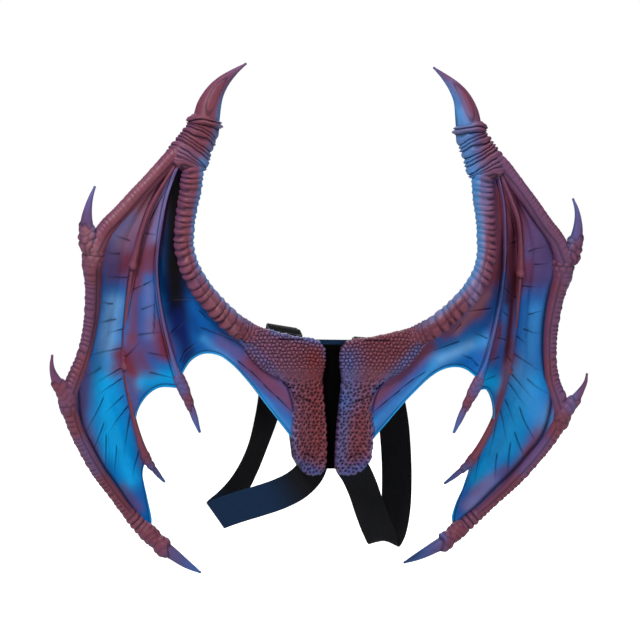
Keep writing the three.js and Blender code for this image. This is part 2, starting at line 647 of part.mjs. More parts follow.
// One wing, each piece seated against those made before it.
function addWing(side, prefix) {
  const maker = (width, options) => (rows, grow = 0) => (
    rod(rows, side, width, { steps: rows.length - 1, ...options, grow })
  );
  const claw = maker(clawWidth, { sides: clawSides, steps: clawSteps });
  const ribClaw = maker(ribClawWidth, { sides: ribSides, steps: ribClawSteps });
  const spar = maker(sparWidth, { sides: sparSides });
  const rib = maker(ribWidth, { sides: ribSides });
  const collar = maker(collarWidth, { sides: collarSides, rings: collarRings });
  const arm = maker(armWidth, { sides: armSides, rings: armRings });
  const overCollar = maker(collarWidth, { sides: collarSides, steps: roundCollarSteps });
  const overArm = maker(armWidth, { sides: armSides, steps: roundArmSteps });

  const seats = {
    collar: collar(collarRows, clearance),
    roundCollar: overCollar(collarRows, ringSeat),
    middleSpar: spar(middleSparRows, clearance),
    upperSpar: spar(upperSparRows, clearance),
    lowerSpar: spar(lowerSparRows, clearance),
    plate: plate(side, clearance),
    roundArm: overArm(armRows, ringSeat),
    outerRib: rib(outerRibRows, clearance),
    innerRib: rib(innerRibRows, clearance),
    wristClaw: claw(wristClawRows, clearance),
    elbowClaw: claw(elbowClawRows, clearance),
    lowerClaw: claw(lowerClawRows, clearance),
    tipClaw: claw(tipClawRows, clearance),
    outerRibClaw: ribClaw(outerRibClawRows, clearance),
    innerRibClaw: ribClaw(innerRibClawRows, clearance),
  };

  const add = (name, geometry, neighbours, material) => (
    addPiece(`${prefix}_${name}`, seated(geometry, neighbours), material)
  );
  addPiece(`${prefix}_shoulder_plate`, plate(side), foamScales);
  addPiece(`${prefix}_wrist_collar`, collar(collarRows), foamMaroon);
  addPiece(`${prefix}_middle_spar`, spar(middleSparRows), foamMaroon);
  add('upper_spar', spar(upperSparRows), [seats.collar, seats.middleSpar], foamMaroon);
  add('lower_spar', spar(lowerSparRows), [seats.middleSpar], foamMaroon);
  add('wrist_claw', claw(wristClawRows), [seats.collar], foamClaw);
  add('elbow_claw', claw(elbowClawRows), [seats.middleSpar, seats.upperSpar], foamClaw);
  add('lower_claw', claw(lowerClawRows), [seats.middleSpar, seats.lowerSpar], foamClaw);
  add('tip_claw', claw(tipClawRows), [seats.lowerSpar], foamClaw);
  add('arm', arm(armRows), [seats.collar, seats.plate, seats.upperSpar], foamMaroon);
  const ribTops = [seats.roundCollar, seats.roundArm, seats.upperSpar];
  add('outer_rib', rib(outerRibRows), ribTops, foamMaroon);
  add('inner_rib', rib(innerRibRows), [...ribTops, seats.outerRib], foamMaroon);
  add('outer_rib_claw', ribClaw(outerRibClawRows), [seats.outerRib], foamClaw);
  add('inner_rib_claw', ribClaw(innerRibClawRows), [seats.innerRib], foamClaw);

  // The outer membrane hangs from the spars' middle line and shares the outer rib with the middle membrane.
  const outerEdge = curveThrough([
    ...upperSparRows.slice(1, -1), ...middleSparRows.slice(1, -2), ...lowerSparRows.slice(1),
    outerScallopRows[0],
  ], side);
  const outerRibEdge = curveThrough(outerRibRows, side);
  const innerRibEdge = curveThrough(innerRibRows, side);
  const rootEdge = curveThrough(innerRootRows, side);
  const outerSurface = betweenEdges(
    stretchOf(outerEdge),
    stretchOf(outerRibEdge),
    straight(outerEdge.getPoint(0), outerRibEdge.getPoint(0)),
    stretchOf(curveThrough(outerScallopRows, side)),
  );
  const middleSurface = betweenEdges(
    stretchOf(outerRibEdge, middleScallopRow / (outerRibRows.length - 1)),
    stretchOf(innerRibEdge),
    straight(outerRibEdge.getPoint(0), innerRibEdge.getPoint(0)),
    stretchOf(curveThrough(middleScallopRows, side)),
  );
  const innerSurface = betweenEdges(
    stretchOf(innerRibEdge),
    stretchOf(rootEdge),
    straight(innerRibEdge.getPoint(0), rootEdge.getPoint(0)),
    stretchOf(curveThrough(innerScallopRows, side)),
  );
  const frameSeats = [seats.outerRib, seats.innerRib, seats.roundCollar, seats.upperSpar];
  add('outer_membrane', membrane(outerSurface, outerMembraneGrid, sheetBillow), [
    ...frameSeats, seats.middleSpar, seats.lowerSpar,
    seats.elbowClaw, seats.lowerClaw, seats.tipClaw, seats.outerRibClaw,
  ], foamBlue);
  add('middle_membrane', membrane(middleSurface, middleMembraneGrid, sheetBillow / 2), [
    ...frameSeats, seats.roundArm, seats.outerRibClaw, seats.innerRibClaw,
  ], foamBlue);
  add('inner_membrane', membrane(innerSurface, innerMembraneGrid, sheetBillow), [
    ...frameSeats, seats.roundArm, seats.plate, seats.innerRibClaw,
  ], foamBlue);
}

addWing(-1, 'left');
addWing(1, 'right');

// A flat plate with round corners, standing in the XZ plane.
function uprightPlate(width, height, thickness, corner) {
  const shape = new THREE.Shape();
  const x = width / 2;
  const z = height / 2;
  shape.moveTo(-x + corner, -z);
  shape.lineTo(x - corner, -z);
  shape.absarc(x - corner, -z + corner, corner, -Math.PI / 2, 0);
  shape.lineTo(x, z - corner);
  shape.absarc(x - corner, z - corner, corner, 0, Math.PI / 2);
  shape.lineTo(-x + corner, z);
  shape.absarc(-x + corner, z - corner, corner, Math.PI / 2, Math.PI);
  shape.lineTo(-x, -z + corner);
  shape.absarc(-x + corner, -z + corner, corner, Math.PI, 1.5 * Math.PI);
  const geometry = new THREE.ExtrudeGeometry(shape, {
    depth: thickness, bevelEnabled: false, curveSegments: panelCornerSteps,
  });
  geometry.rotateX(Math.PI / 2);
  return geometry;
}

// The panel stands between the plates and the wearer, its rear face on Y = 0.
const panel = uprightPlate(panelWidth, panelHeight, panelThickness, panelCorner);
panel.translate(0, 0, panelMiddle);
addPiece('back_panel', panel, elastic);

// The yoke is the webbing across the top of the panel, which carries both shoulder loops.
const yokeTop = panelMiddle + panelHeight / 2 + yokeRise;
const yoke = new THREE.BoxGeometry(yokeWidth, webbingThickness, webbingWidth);
yoke.translate(0, clearance + webbingThickness / 2, yokeTop - webbingWidth / 2);
addPiece('yoke_strap', yoke, elastic);

// A shoulder loop: its middle line, its width direction and where the slider sits along it.
function loopPath(rows) {
  const rearFace = yokeBack + clearance + webbingThickness / 2;
  const centres = throughPoints(rows.map((row) => new THREE.Vector3(
    row.x * loopSpread, row.y * loopDepth + rearFace, row.z * loopHeight,
  )));
  centres.arcLengthDivisions = curveDivisions;
  const widths = evenCurve(rows.map((row) => new THREE.Vector3(row.wx, row.wy, row.wz).normalize()));
  const square = (centre, tangent, width) => {
    const across = width.addScaledVector(tangent, -width.dot(tangent)).normalize();
    return { centre, tangent, across, face: new THREE.Vector3().crossVectors(across, tangent) };
  };
  const frameOnCurve = (length) => {
    const t = centres.getUtoTmapping(0, length);
    return square(centres.getPoint(t), centres.getTangent(t), widths.getPoint(t));
  };
  const lengths = centres.getLengths(curveDivisions);
  const sliderAt = lengths[Math.round(curveDivisions * sliderRow / (rows.length - 1))];
  const straight = frameOnCurve(sliderAt);
  // The slider holds the webbing straight, and it eases back into its own curve beyond it.
  const frameAt = (length) => {
    const free = frameOnCurve(length);
    const fromMiddle = length - sliderAt;
    const held = 1 - THREE.MathUtils.smoothstep(Math.abs(fromMiddle), sliderLength / 2, sliderLength);
    const onLine = straight.centre.clone().addScaledVector(straight.tangent, fromMiddle);
    return square(
      free.centre.lerp(onLine, held),
      free.tangent.lerp(straight.tangent, held).normalize(),
      free.across.lerp(straight.across, held),
    );
  };
  return { frameAt, sliderAt, total: lengths.at(-1) };
}

// The webbing passes over the middle bar of a slider and under the two outer ones, as a cosine of the
// distance from the middle, which runs out to nothing half a pitch beyond the outer bars.
const barPitch = (sliderLength - sliderBar) / 2;
const humpHeight = sliderThickness / 2 + webbingThickness / 2 + 3 * clearance;
const humpReach = 1.5 * barPitch;
const humpSteps = 12;
const humpAt = (fromMiddle) => (
  Math.abs(fromMiddle) < humpReach ? humpHeight * Math.cos(Math.PI * fromMiddle / barPitch) : 0
);

// Lengths along the loop where the webbing has a section: even outside the slider, closer inside it.
function loopStops({ total, sliderAt }, spacing) {
  const before = Math.ceil((sliderAt - humpReach) / spacing);
  const after = Math.ceil((total - sliderAt - humpReach) / spacing);
  const even = (from, to, count) => Array.from({ length: count }, (_, i) => from + (to - from) * i / count);
  return [
    ...even(0, sliderAt - humpReach, before),
    ...even(sliderAt - humpReach, sliderAt + humpReach, humpSteps),
    ...even(sliderAt + humpReach, total, after),
    total,
  ];
}

// Webbing of constant width and thickness swept along a loop.
function loopWebbing(path) {
  const rings = loopStops(path, loopStep).map((length) => {
    const { centre, across, face } = path.frameAt(length);
    const corner = (a, b) => centre.clone()
      .addScaledVector(across, a * webbingWidth / 2)
      .addScaledVector(face, b * webbingThickness / 2 + humpAt(length - path.sliderAt));
    return [corner(-1, -1), corner(1, -1), corner(1, 1), corner(-1, 1)];
  });
  return bodyFromRings(rings);
}

// A slider: a flat frame with a middle bar, the webbing woven through its two slots.
function slider(path) {
  const halfWidth = webbingWidth / 2 + sliderRim + 2 * clearance;
  const outline = new THREE.Shape();
  outline.moveTo(-halfWidth, -sliderLength / 2);
  outline.lineTo(halfWidth, -sliderLength / 2);
  outline.lineTo(halfWidth, sliderLength / 2);
  outline.lineTo(-halfWidth, sliderLength / 2);
  outline.closePath();
  const slotHalf = webbingWidth / 2 + 2 * clearance;
  for (const way of [-1, 1]) {
    const near = way * sliderBar / 2;
    const far = way * (sliderLength / 2 - sliderBar);
    const slot = new THREE.Path();
    slot.moveTo(-slotHalf, near);
    slot.lineTo(-slotHalf, far);
    slot.lineTo(slotHalf, far);
    slot.lineTo(slotHalf, near);
    slot.closePath();
    outline.holes.push(slot);
  }
  const geometry = new THREE.ExtrudeGeometry(outline, { depth: sliderThickness, bevelEnabled: false });
  geometry.translate(0, 0, -sliderThickness / 2);
  const { centre, tangent, across, face } = path.frameAt(path.sliderAt);
  geometry.applyMatrix4(new THREE.Matrix4().makeBasis(across, tangent, face).setPosition(centre));
  return geometry;
}

for (const [side, rows] of [['left', leftLoopRows], ['right', rightLoopRows]]) {
  const path = loopPath(rows);
  addPiece(`${side}_shoulder_loop`, loopWebbing(path), elastic);
  addPiece(`${side}_slider`, slider(path), moulded);
}

export default group;
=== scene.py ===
"""Dresses the dragon wings: foam skins with rings, scales and wrinkles, an elastic harness and a studio."""

import logging
import math
from dataclasses import dataclass, field
from enum import Enum
from typing import ClassVar

import bpy
import numpy as np
from mathutils import Matrix, Vector


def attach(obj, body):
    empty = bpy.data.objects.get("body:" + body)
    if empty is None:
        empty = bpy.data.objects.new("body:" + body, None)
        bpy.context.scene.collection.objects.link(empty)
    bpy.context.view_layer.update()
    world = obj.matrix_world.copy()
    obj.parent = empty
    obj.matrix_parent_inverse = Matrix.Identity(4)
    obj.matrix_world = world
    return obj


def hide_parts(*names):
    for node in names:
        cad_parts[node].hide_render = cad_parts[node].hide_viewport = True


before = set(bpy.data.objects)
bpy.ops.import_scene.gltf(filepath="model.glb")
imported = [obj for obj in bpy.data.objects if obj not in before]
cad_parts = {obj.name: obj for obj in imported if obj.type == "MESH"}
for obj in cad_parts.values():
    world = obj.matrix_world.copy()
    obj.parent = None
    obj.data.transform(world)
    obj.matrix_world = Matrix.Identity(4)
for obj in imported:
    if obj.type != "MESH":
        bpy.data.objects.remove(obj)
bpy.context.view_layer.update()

log = logging.getLogger("dragon_wings")
Array = np.ndarray
MM = 0.001

# The back of a slab has every third point of its front.
BACK_STEP = 3

# Points at which the curve of a rod, and of a shoulder loop, is read to measure its length.
ROD_CURVE_STEPS, LOOP_CURVE_STEPS = 600, 2400

# Numbers of the hash in wobble. Any large, uneven numbers would do.
HASH_STEP, HASH_SEED, HASH_SCALE = 12.9898, 78.233, 43758.5453

# The power that turns a screen colour into light.
SCREEN_POWER = 2.2

# Scales of the noise in the paint's speckle and in the foam skin's swell, per metre.
SPECKLE_SCALE, SWELL_SCALE = 1100.0, 90.0


class Side(Enum):
    """Which wing, as its decorated side is looked at. The value is the sign of its X."""

    LEFT = -1
    RIGHT = 1

    @property
    def prefix(self) -> str:
        """The word that starts the names of this wing's pieces."""
        return self.name.lower()


# Stations of the foam skeleton. Columns x, y and z are shares of the wing's reach, sweep and height, and
# the columns wide and deep are shares of the piece's own width.
WRIST_CLAW = np.array([
    [0.476, -0.05, 0.552, 1, 0.92],
    [0.466, -0.05, 0.58, 0.9, 0.84],
    [0.448, -0.06, 0.605, 0.7, 0.68],
    [0.421, -0.06, 0.626, 0.5, 0.5],
    [0.382, -0.06, 0.646, 0.26, 0.28],
    [0.341, -0.06, 0.663, 0.07, 0.08],
])
WRIST_COLLAR = np.array([
    [0.479, -0.05, 0.557, 0.7, 0.6],
    [0.485, -0.05, 0.537, 0.72, 0.62],
    [0.499, -0.06, 0.52, 0.76, 0.62],
    [0.516, -0.07, 0.503, 0.84, 0.6],
    [0.531, -0.08, 0.487, 0.94, 0.58],
    [0.545, -0.09, 0.472, 0.98, 0.56],
    [0.553, -0.1, 0.457, 0.82, 0.5],
])
UPPER_SPAR = np.array([
    [0.565, -0.1, 0.495, 1, 1],
    [0.6, -0.11, 0.478, 1, 1],
    [0.636, -0.11, 0.455, 1, 1.05],
    [0.676, -0.11, 0.429, 1, 1.05],
    [0.718, -0.1, 0.403, 1, 1],
    [0.766, -0.08, 0.372, 1, 1],
    [0.815, -0.06, 0.341, 1.1, 1.05],
    [0.85, -0.04, 0.306, 1.3, 1.15],
])
MIDDLE_SPAR = np.array([
    [0.851, -0.03, 0.316, 1.18, 1.05],
    [0.854, 0, 0.299, 1.32, 1.2],
    [0.856, 0.04, 0.268, 1.26, 1.15],
    [0.849, 0.1, 0.241, 1.1, 1.05],
    [0.845, 0.19, 0.195, 1, 0.95],
    [0.848, 0.27, 0.151, 0.9, 0.85],
    [0.858, 0.33, 0.106, 0.88, 0.85],
    [0.874, 0.36, 0.071, 0.95, 0.9],
    [0.9, 0.36, 0.035, 1.05, 1],
    [0.918, 0.37, 0.005, 1.18, 1.1],
    [0.914, 0.4, -0.018, 1.05, 1],
])
LOWER_SPAR = np.array([
    [0.917, 0.38, -0.006, 1, 0.95],
    [0.882, 0.48, -0.055, 0.92, 0.9],
    [0.841, 0.57, -0.095, 0.9, 0.85],
    [0.788, 0.69, -0.14, 0.85, 0.8],
    [0.729, 0.81, -0.18, 0.8, 0.8],
    [0.671, 0.9, -0.219, 0.8, 0.8],
    [0.624, 0.93, -0.245, 0.92, 0.9],
    [0.584, 0.93, -0.263, 1, 0.95],
])
TIP_CLAW = np.array([
    [0.6, 0.93, -0.255, 0.56, 0.56],
    [0.571, 0.92, -0.268, 0.56, 0.56],
    [0.535, 0.9, -0.285, 0.6, 0.58],
    [0.494, 0.92, -0.3, 0.47, 0.46],
    [0.447, 0.96, -0.317, 0.31, 0.32],
    [0.391, 1, -0.334, 0.07, 0.08],
])
ELBOW_CLAW = np.array([
    [0.874, -0.04, 0.305, 0.62, 0.6],
    [0.881, -0.08, 0.331, 0.58, 0.56],
    [0.886, -0.12, 0.357, 0.46, 0.46],
    [0.882, -0.15, 0.381, 0.31, 0.32],
    [0.874, -0.16, 0.4, 0.18, 0.2],
    [0.862, -0.15, 0.418, 0.07, 0.08],
])
LOWER_CLAW = np.array([
    [0.915, 0.37, 0.002, 0.6, 0.58],
    [0.935, 0.34, 0.018, 0.56, 0.54],
    [0.959, 0.31, 0.036, 0.44, 0.44],
    [0.975, 0.27, 0.054, 0.29, 0.3],
    [0.982, 0.22, 0.07, 0.17, 0.18],
    [0.982, 0.19, 0.086, 0.07, 0.08],
])
ARM = np.array([
    [0.526, -0.09, 0.47, 1, 1],
    [0.524, -0.1, 0.45, 1.04, 1],
    [0.53, -0.1, 0.413, 1.02, 1],
    [0.541, -0.09, 0.378, 0.96, 0.96],
    [0.547, -0.08, 0.341, 0.94, 0.94],
    [0.546, -0.09, 0.305, 0.92, 0.94],
    [0.527, -0.11, 0.269, 0.94, 0.94],
    [0.485, -0.11, 0.23, 1, 0.96],
    [0.432, -0.09, 0.198, 1, 0.96],
    [0.371, -0.05, 0.168, 1.04, 0.88],
    [0.318, -0.01, 0.15, 1.04, 0.66],
    [0.28, 0.01, 0.14, 1, 0.56],
])
OUTER_RIB = np.array([
    [0.59, -0.11, 0.462, 0.9, 1],
    [0.612, -0.1, 0.44, 0.9, 1],
    [0.64, -0.08, 0.412, 0.9, 1],
    [0.668, -0.05, 0.379, 0.9, 1],
    [0.688, 0.02, 0.341, 0.9, 1],
    [0.705, 0.12, 0.29, 1.25, 1.25],
    [0.712, 0.18, 0.262, 0.9, 1],
    [0.716, 0.25, 0.224, 0.9, 1],
    [0.719, 0.31, 0.186, 0.9, 1],
    [0.72, 0.39, 0.138, 0.9, 1],
    [0.715, 0.46, 0.088, 1.25, 1.25],
    [0.705, 0.49, 0.048, 0.9, 1],
    [0.688, 0.52, 0.006, 0.9, 1],
    [0.668, 0.58, -0.035, 0.95, 1],
    [0.641, 0.67, -0.077, 1.05, 1.1],
    [0.612, 0.76, -0.112, 1.25, 1.2],
])
OUTER_RIB_CLAW = np.array([
    [0.622, 0.73, -0.101, 0.86, 0.8],
    [0.604, 0.78, -0.118, 0.8, 0.72],
    [0.583, 0.82, -0.131, 0.58, 0.54],
    [0.559, 0.88, -0.146, 0.33, 0.34],
    [0.535, 0.93, -0.159, 0.1, 0.12],
])
INNER_RIB = np.array([
    [0.57, -0.12, 0.47, 0.9, 1],
    [0.586, -0.11, 0.448, 0.9, 1],
    [0.609, -0.07, 0.405, 0.9, 1],
    [0.626, 0, 0.336, 0.9, 1],
    [0.632, 0.06, 0.278, 0.9, 1],
    [0.624, 0.08, 0.225, 0.9, 1],
    [0.603, 0.07, 0.161, 1, 1],
    [0.571, 0.05, 0.096, 0.95, 1],
    [0.541, 0.05, 0.052, 1.15, 1.1],
])
INNER_RIB_CLAW = np.array([
    [0.549, 0.05, 0.062, 1, 0.78],
    [0.53, 0.06, 0.04, 1.04, 0.78],
    [0.508, 0.08, 0.013, 0.8, 0.66],
    [0.488, 0.1, -0.013, 0.48, 0.44],
    [0.465, 0.12, -0.043, 0.1, 0.12],
])

# The row of the outer rib where the middle panel leaves it.
RIB_LEAVES = 13

# Free edges of the membranes and the rim of the shoulder plate. Columns x, y and z, and for the inner edge
# also drop, its own share of the wing's hang.
OUTER_SCALLOP = np.array([
    [0.575, 0.93, -0.256],
    [0.577, 0.98, -0.236],
    [0.594, 0.97, -0.2],
    [0.612, 0.9, -0.162],
    [0.618, 0.83, -0.136],
    [0.612, 0.76, -0.112],
])
MIDDLE_SCALLOP = np.array([
    [0.668, 0.58, -0.035],
    [0.664, 0.48, -0.01],
    [0.64, 0.36, 0.02],
    [0.6, 0.22, 0.04],
    [0.541, 0.05, 0.042],
])
INNER_SCALLOP = np.array([
    [0.545, 0.05, 0.062, 0],
    [0.505, 0.09, 0.086, 0.4],
    [0.458, 0.05, 0.096, 0.8],
    [0.408, 0.01, 0.092, 0.9],
    [0.36, -0.02, 0.076, 0.8],
    [0.3, -0.04, 0.044, 0.6],
    [0.246, -0.03, 0.01, 0.4],
    [0.19, -0.03, -0.026, 0.2],
    [0.125, -0.03, -0.068, 0],
])
INNER_ROOT = np.array([
    [0.528, -0.08, 0.458],
    [0.532, -0.08, 0.413],
    [0.545, -0.07, 0.36],
    [0.545, -0.07, 0.3],
    [0.503, -0.08, 0.245],
    [0.432, -0.07, 0.195],
    [0.35, -0.03, 0.155],
    [0.24, 0, 0.098],
    [0.14, 0.01, 0.06],
    [0.105, 0.01, 0.01],
    [0.1, -0.01, -0.048],
])
PLATE_INNER = np.array([
    [0.03, 0, 0.122],
    [0.027, 0, 0.092],
    [0.034, 0, 0.056],
    [0.028, -0.01, 0.018],
    [0.02, -0.02, -0.03],
    [0.016, -0.02, -0.082],
    [0.017, 0, -0.112],
])
PLATE_OUTER = np.array([
    [0.312, -0.04, 0.166],
    [0.33, -0.03, 0.13],
    [0.262, -0.03, 0.08],
    [0.19, 0, 0.058],
    [0.153, 0, 0.034],
    [0.153, -0.03, -0.03],
    [0.139, -0.11, -0.09],
])
PLATE_TOP = np.array([
    [0.03, 0, 0.122],
    [0.06, -0.01, 0.136],
    [0.13, -0.02, 0.142],
    [0.215, -0.03, 0.152],
    [0.312, -0.04, 0.166],
])
PLATE_BOTTOM = np.array([
    [0.017, 0, -0.112],
    [0.04, 0.01, -0.125],
    [0.085, -0.03, -0.124],
    [0.118, -0.1, -0.108],
    [0.139, -0.11, -0.09],
])

# Stations of the shoulder loops. Columns x, y and z are shares of the loop's spread, depth and height, and
# wx, wy and wz give the direction of the webbing's width.
LEFT_LOOP = np.array([
    [-0.41, 0, 0.24, 1, 0, 0],
    [-0.41, 0, 0.36, 1, 0, -0.05],
    [-0.41, 0.02, 0.448, 1, 0, -0.1],
    [-0.405, 0.08, 0.488, 1, 0, -0.15],
    [-0.4, 0.19, 0.506, 1, 0, -0.15],
    [-0.395, 0.3, 0.524, 1, 0, -0.15],
    [-0.39, 0.41, 0.542, 1, 0, -0.15],
    [-0.385, 0.54, 0.54, 1, 0, -0.1],
    [-0.38, 0.7, 0.47, 1, 0, 0],
    [-0.38, 0.86, 0.32, 1, 0.1, 0],
    [-0.39, 0.96, 0.13, 1, 0.25, 0],
    [-0.43, 1, -0.05, 1, 0.5, 0],
    [-0.525, 0.97, -0.28, 1, 0.85, -0.2],
    [-0.62, 0.89, -0.43, 1, 0.9, -0.4],
    [-0.74, 0.79, -0.565, 0.9, 0.7, -0.6],
    [-0.87, 0.68, -0.665, 0.72, 0.4, -0.72],
    [-0.97, 0.58, -0.725, 0.62, 0.1, -0.78],
    [-0.985, 0.49, -0.735, 0.59, 0, -0.81],
    [-0.9, 0.42, -0.705, 0.45, 0, -0.89],
    [-0.755, 0.36, -0.665, 0.32, 0, -0.95],
    [-0.595, 0.29, -0.625, 0.26, 0, -0.96],
    [-0.42, 0.21, -0.575, 0.32, 0, -0.94],
    [-0.28, 0.13, -0.515, 0.55, 0, -0.83],
    [-0.18, 0.05, -0.435, 0.88, 0, -0.45],
    [-0.145, 0, -0.36, 1, 0, 0],
    [-0.145, 0, -0.27, 1, 0, 0],
])
RIGHT_LOOP = np.array([
    [0.4, 0, 0.18, 1, 0, 0],
    [0.4, 0, 0.3, 1, 0, 0],
    [0.4, 0.02, 0.375, 1, 0, 0],
    [0.405, 0.08, 0.415, 1, 0, 0],
    [0.42, 0.19, 0.433, 1, 0, 0],
    [0.435, 0.3, 0.451, 1, 0, 0],
    [0.45, 0.41, 0.469, 1, 0, 0],
    [0.48, 0.54, 0.465, 1, 0, 0],
    [0.56, 0.72, 0.39, 1, 0, 0.05],
    [0.66, 0.88, 0.25, 1, -0.05, 0.1],
    [0.755, 0.97, 0.09, 1, -0.15, 0.1],
    [0.82, 1, -0.1, 1, -0.25, 0.05],
    [0.85, 0.98, -0.31, 1, -0.3, 0],
    [0.855, 0.93, -0.52, 1, -0.2, 0],
    [0.83, 0.84, -0.72, 1, -0.1, 0],
    [0.765, 0.71, -0.865, 1, 0, -0.05],
    [0.67, 0.57, -0.925, 1, 0, -0.1],
    [0.58, 0.45, -0.84, 1, 0, -0.05],
    [0.48, 0.34, -0.7, 1, 0, 0.1],
    [0.385, 0.22, -0.55, 1, 0, 0.2],
    [0.29, 0.1, -0.435, 1, 0, 0.2],
    [0.21, 0.02, -0.36, 1, 0, 0.05],
    [0.19, 0, -0.3, 1, 0, 0],
    [0.19, 0, -0.22, 1, 0, 0],
])


def ease(low: float, high: float, value: Array) -> Array:
    """A smooth step: 0 below low, 1 above high, and 3t squared less 2t cubed between them.

    Args:
        low: Where the step starts.
        high: Where the step ends.
        value: Values to step.

    Returns:
        The steps, in the shape of value.
    """
    share = np.clip((value - low) / (high - low), 0.0, 1.0)
    return share * share * (3.0 - 2.0 * share)


def bell(away: Array, width: float | Array) -> Array:
    """A bell curve: e to the power of minus the square of the distance over the width."""
    return np.exp(-((away / width) ** 2))


def unit(vectors: Array) -> Array:
    """Vectors divided by their own length."""
    return vectors / np.maximum(np.linalg.norm(vectors, axis=-1, keepdims=True), 1e-12)


def circle(count: int) -> Array:
    """Points of a circle of radius 1, a row each: the cosine and the sine of even angles."""
    turn = 2 * np.pi * np.arange(count) / count
    return np.stack([np.cos(turn), np.sin(turn)], axis=1)


def wobble(value: Array, seed: float) -> Array:
    """A hash of whole numbers: the fraction of a large multiple of a sine, from -1 to 1."""
    return 2.0 * np.modf(np.abs(np.sin(value * HASH_STEP + seed * HASH_SEED)) * HASH_SCALE)[0] - 1.0


def lobes(phase: Array, sharpness: float) -> tuple[Array, Array]:
    """Rounded lobes with sharp valleys: the size of a sine raised to a power below 1.

    Args:
        phase: Position in lobes, so that each whole number is a valley.
        sharpness: The power.

    Returns:
        Heights from 0 to 1, and the painted shade of the valleys from 0 to 1.
    """
    swing = np.abs(np.sin(np.pi * phase))
    return swing**sharpness, bell(swing, 0.40)


def cobbles(place: Array, ways: Array, count: int, sharpness: float = 0.6, waver: float = 0.0
            ) -> tuple[Array, Array]:
    """Rounded lumps in rows round a rod, as lobes along it times lobes round it, each row half a lump on.

    Args:
        place: Position in rows along the rod.
        ways: Unit directions out of the path.
        count: Lumps in a row.
        sharpness: The power of the lobes.
        waver: How far the lumps waver round the rod, in lumps.

    Returns:
        Heights from 0 to 1, and the painted shade of the gaps from 0 to 1.
    """
    around = np.arctan2(-ways[..., 1], ways[..., 0]) * count / (2 * np.pi) + 0.5 * (np.floor(place) % 2)
    bumps, gaps = lobes(around + waver * np.sin(5 * place), sharpness)
    rows, row_gaps = lobes(place, sharpness)
    return bumps * rows, np.maximum(gaps, row_gaps)


def through(points: Array, shares: Array, centripetal: bool = True) -> Array:
    """Reads a Catmull-Rom curve through points, each point at an even share of the curve.

    Between two points the curve is the cubic that leaves and reaches them with the slopes that their
    neighbours give. A centripetal curve weighs those slopes by the square root of the distances.

    Args:
        points: The points, a row each.
        shares: Where to read the curve, from 0 to 1.
        centripetal: Whether distances weigh the slopes.

    Returns:
        A row for each share.
    """
    ends = np.vstack([2 * points[0] - points[1], points, 2 * points[-1] - points[-2]])
    place = np.clip(shares, 0.0, 1.0) * (len(points) - 1)
    index = np.minimum(place.astype(int), len(points) - 2)
    t = (place - index)[:, None]
    a, b, c, d = (ends[index + k] for k in range(4))
    if centripetal:
        ab, bc, cd = (
            np.sqrt(np.maximum(np.linalg.norm(q - p, axis=1, keepdims=True), 1e-9))
            for p, q in ((a, b), (b, c), (c, d))
        )
        leave = ((b - a) / ab - (c - a) / (ab + bc) + (c - b) / bc) * bc
        reach = ((c - b) / bc - (d - b) / (bc + cd) + (d - c) / cd) * bc
    else:
        leave, reach = (c - a) / 2, (d - b) / 2
    return b + leave * t + (3 * (c - b) - 2 * leave - reach) * t**2 + (2 * (b - c) + leave + reach) * t**3


def read(columns: Array, at: Array, run: Array) -> Array:
    """Columns given at running distances, read at other distances along straight lines between them."""
    return np.stack([np.interp(at, run, values) for values in columns.T], axis=-1)


def lengths_along(points: Array) -> Array:
    """Running length of a line of points, from 0 at the first."""
    steps = np.linalg.norm(np.diff(points, axis=0), axis=1)
    return np.concatenate([[0.0], np.cumsum(steps)])


def lengths_over(grid: Array, axis: int) -> Array:
    """Running length over a grid of points, down it for axis 0 and across it for axis 1, from 0."""
    steps = np.linalg.norm(np.diff(grid, axis=axis), axis=2)
    return np.pad(np.cumsum(steps, axis=axis), ((1 - axis, 0), (axis, 0)))


def grid_normals(points: Array) -> Array:
    """Unit normals of a grid of points, from the cross product of its two directions, facing the front."""
    down, over = np.gradient(points, axis=0), np.gradient(points, axis=1)
    normals = unit(np.cross(over, down))
    return normals * np.where(normals[..., 1:2] > 0, -1.0, 1.0)


def coons(outer: Array, inner: Array, top: Array, bottom: Array) -> Array:
    """A Coons patch: the two blends between opposite edges, less the blend between the four corners.

    Args:
        outer: Points down the outer edge.
        inner: Points down the inner edge.
        top: Points from the outer edge to the inner one.
        bottom: Points likewise at the other end.

    Returns:
        A grid of points with a row for each point of outer and a column for each of top.
    """
    u = np.linspace(0, 1, len(top))[None, :, None]
    v = np.linspace(0, 1, len(outer))[:, None, None]
    return (
        outer[:, None] * (1 - u) + inner[:, None] * u + top[None] * (1 - v) + bottom[None] * v
        - outer[0] * (1 - u) * (1 - v) - inner[0] * u * (1 - v)
        - outer[-1] * (1 - u) * v - inner[-1] * u * v
    )


def to_segment(points: Array, start: Array, end: Array) -> tuple[Array, Array]:
    """Distance of points from a straight segment.

    Args:
        points: Points in rows, or in a grid.
        start: One end of the segment.
        end: Its other end.

    Returns:
        The distances, and how far along the segment the nearest point is, from 0 to 1.
    """
    way = end - start
    along = np.clip(((points - start) @ way) / max(float(way @ way), 1e-12), 0.0, 1.0)
    nearest = start + along[..., None] * way
    return np.linalg.norm(points - nearest, axis=-1), along


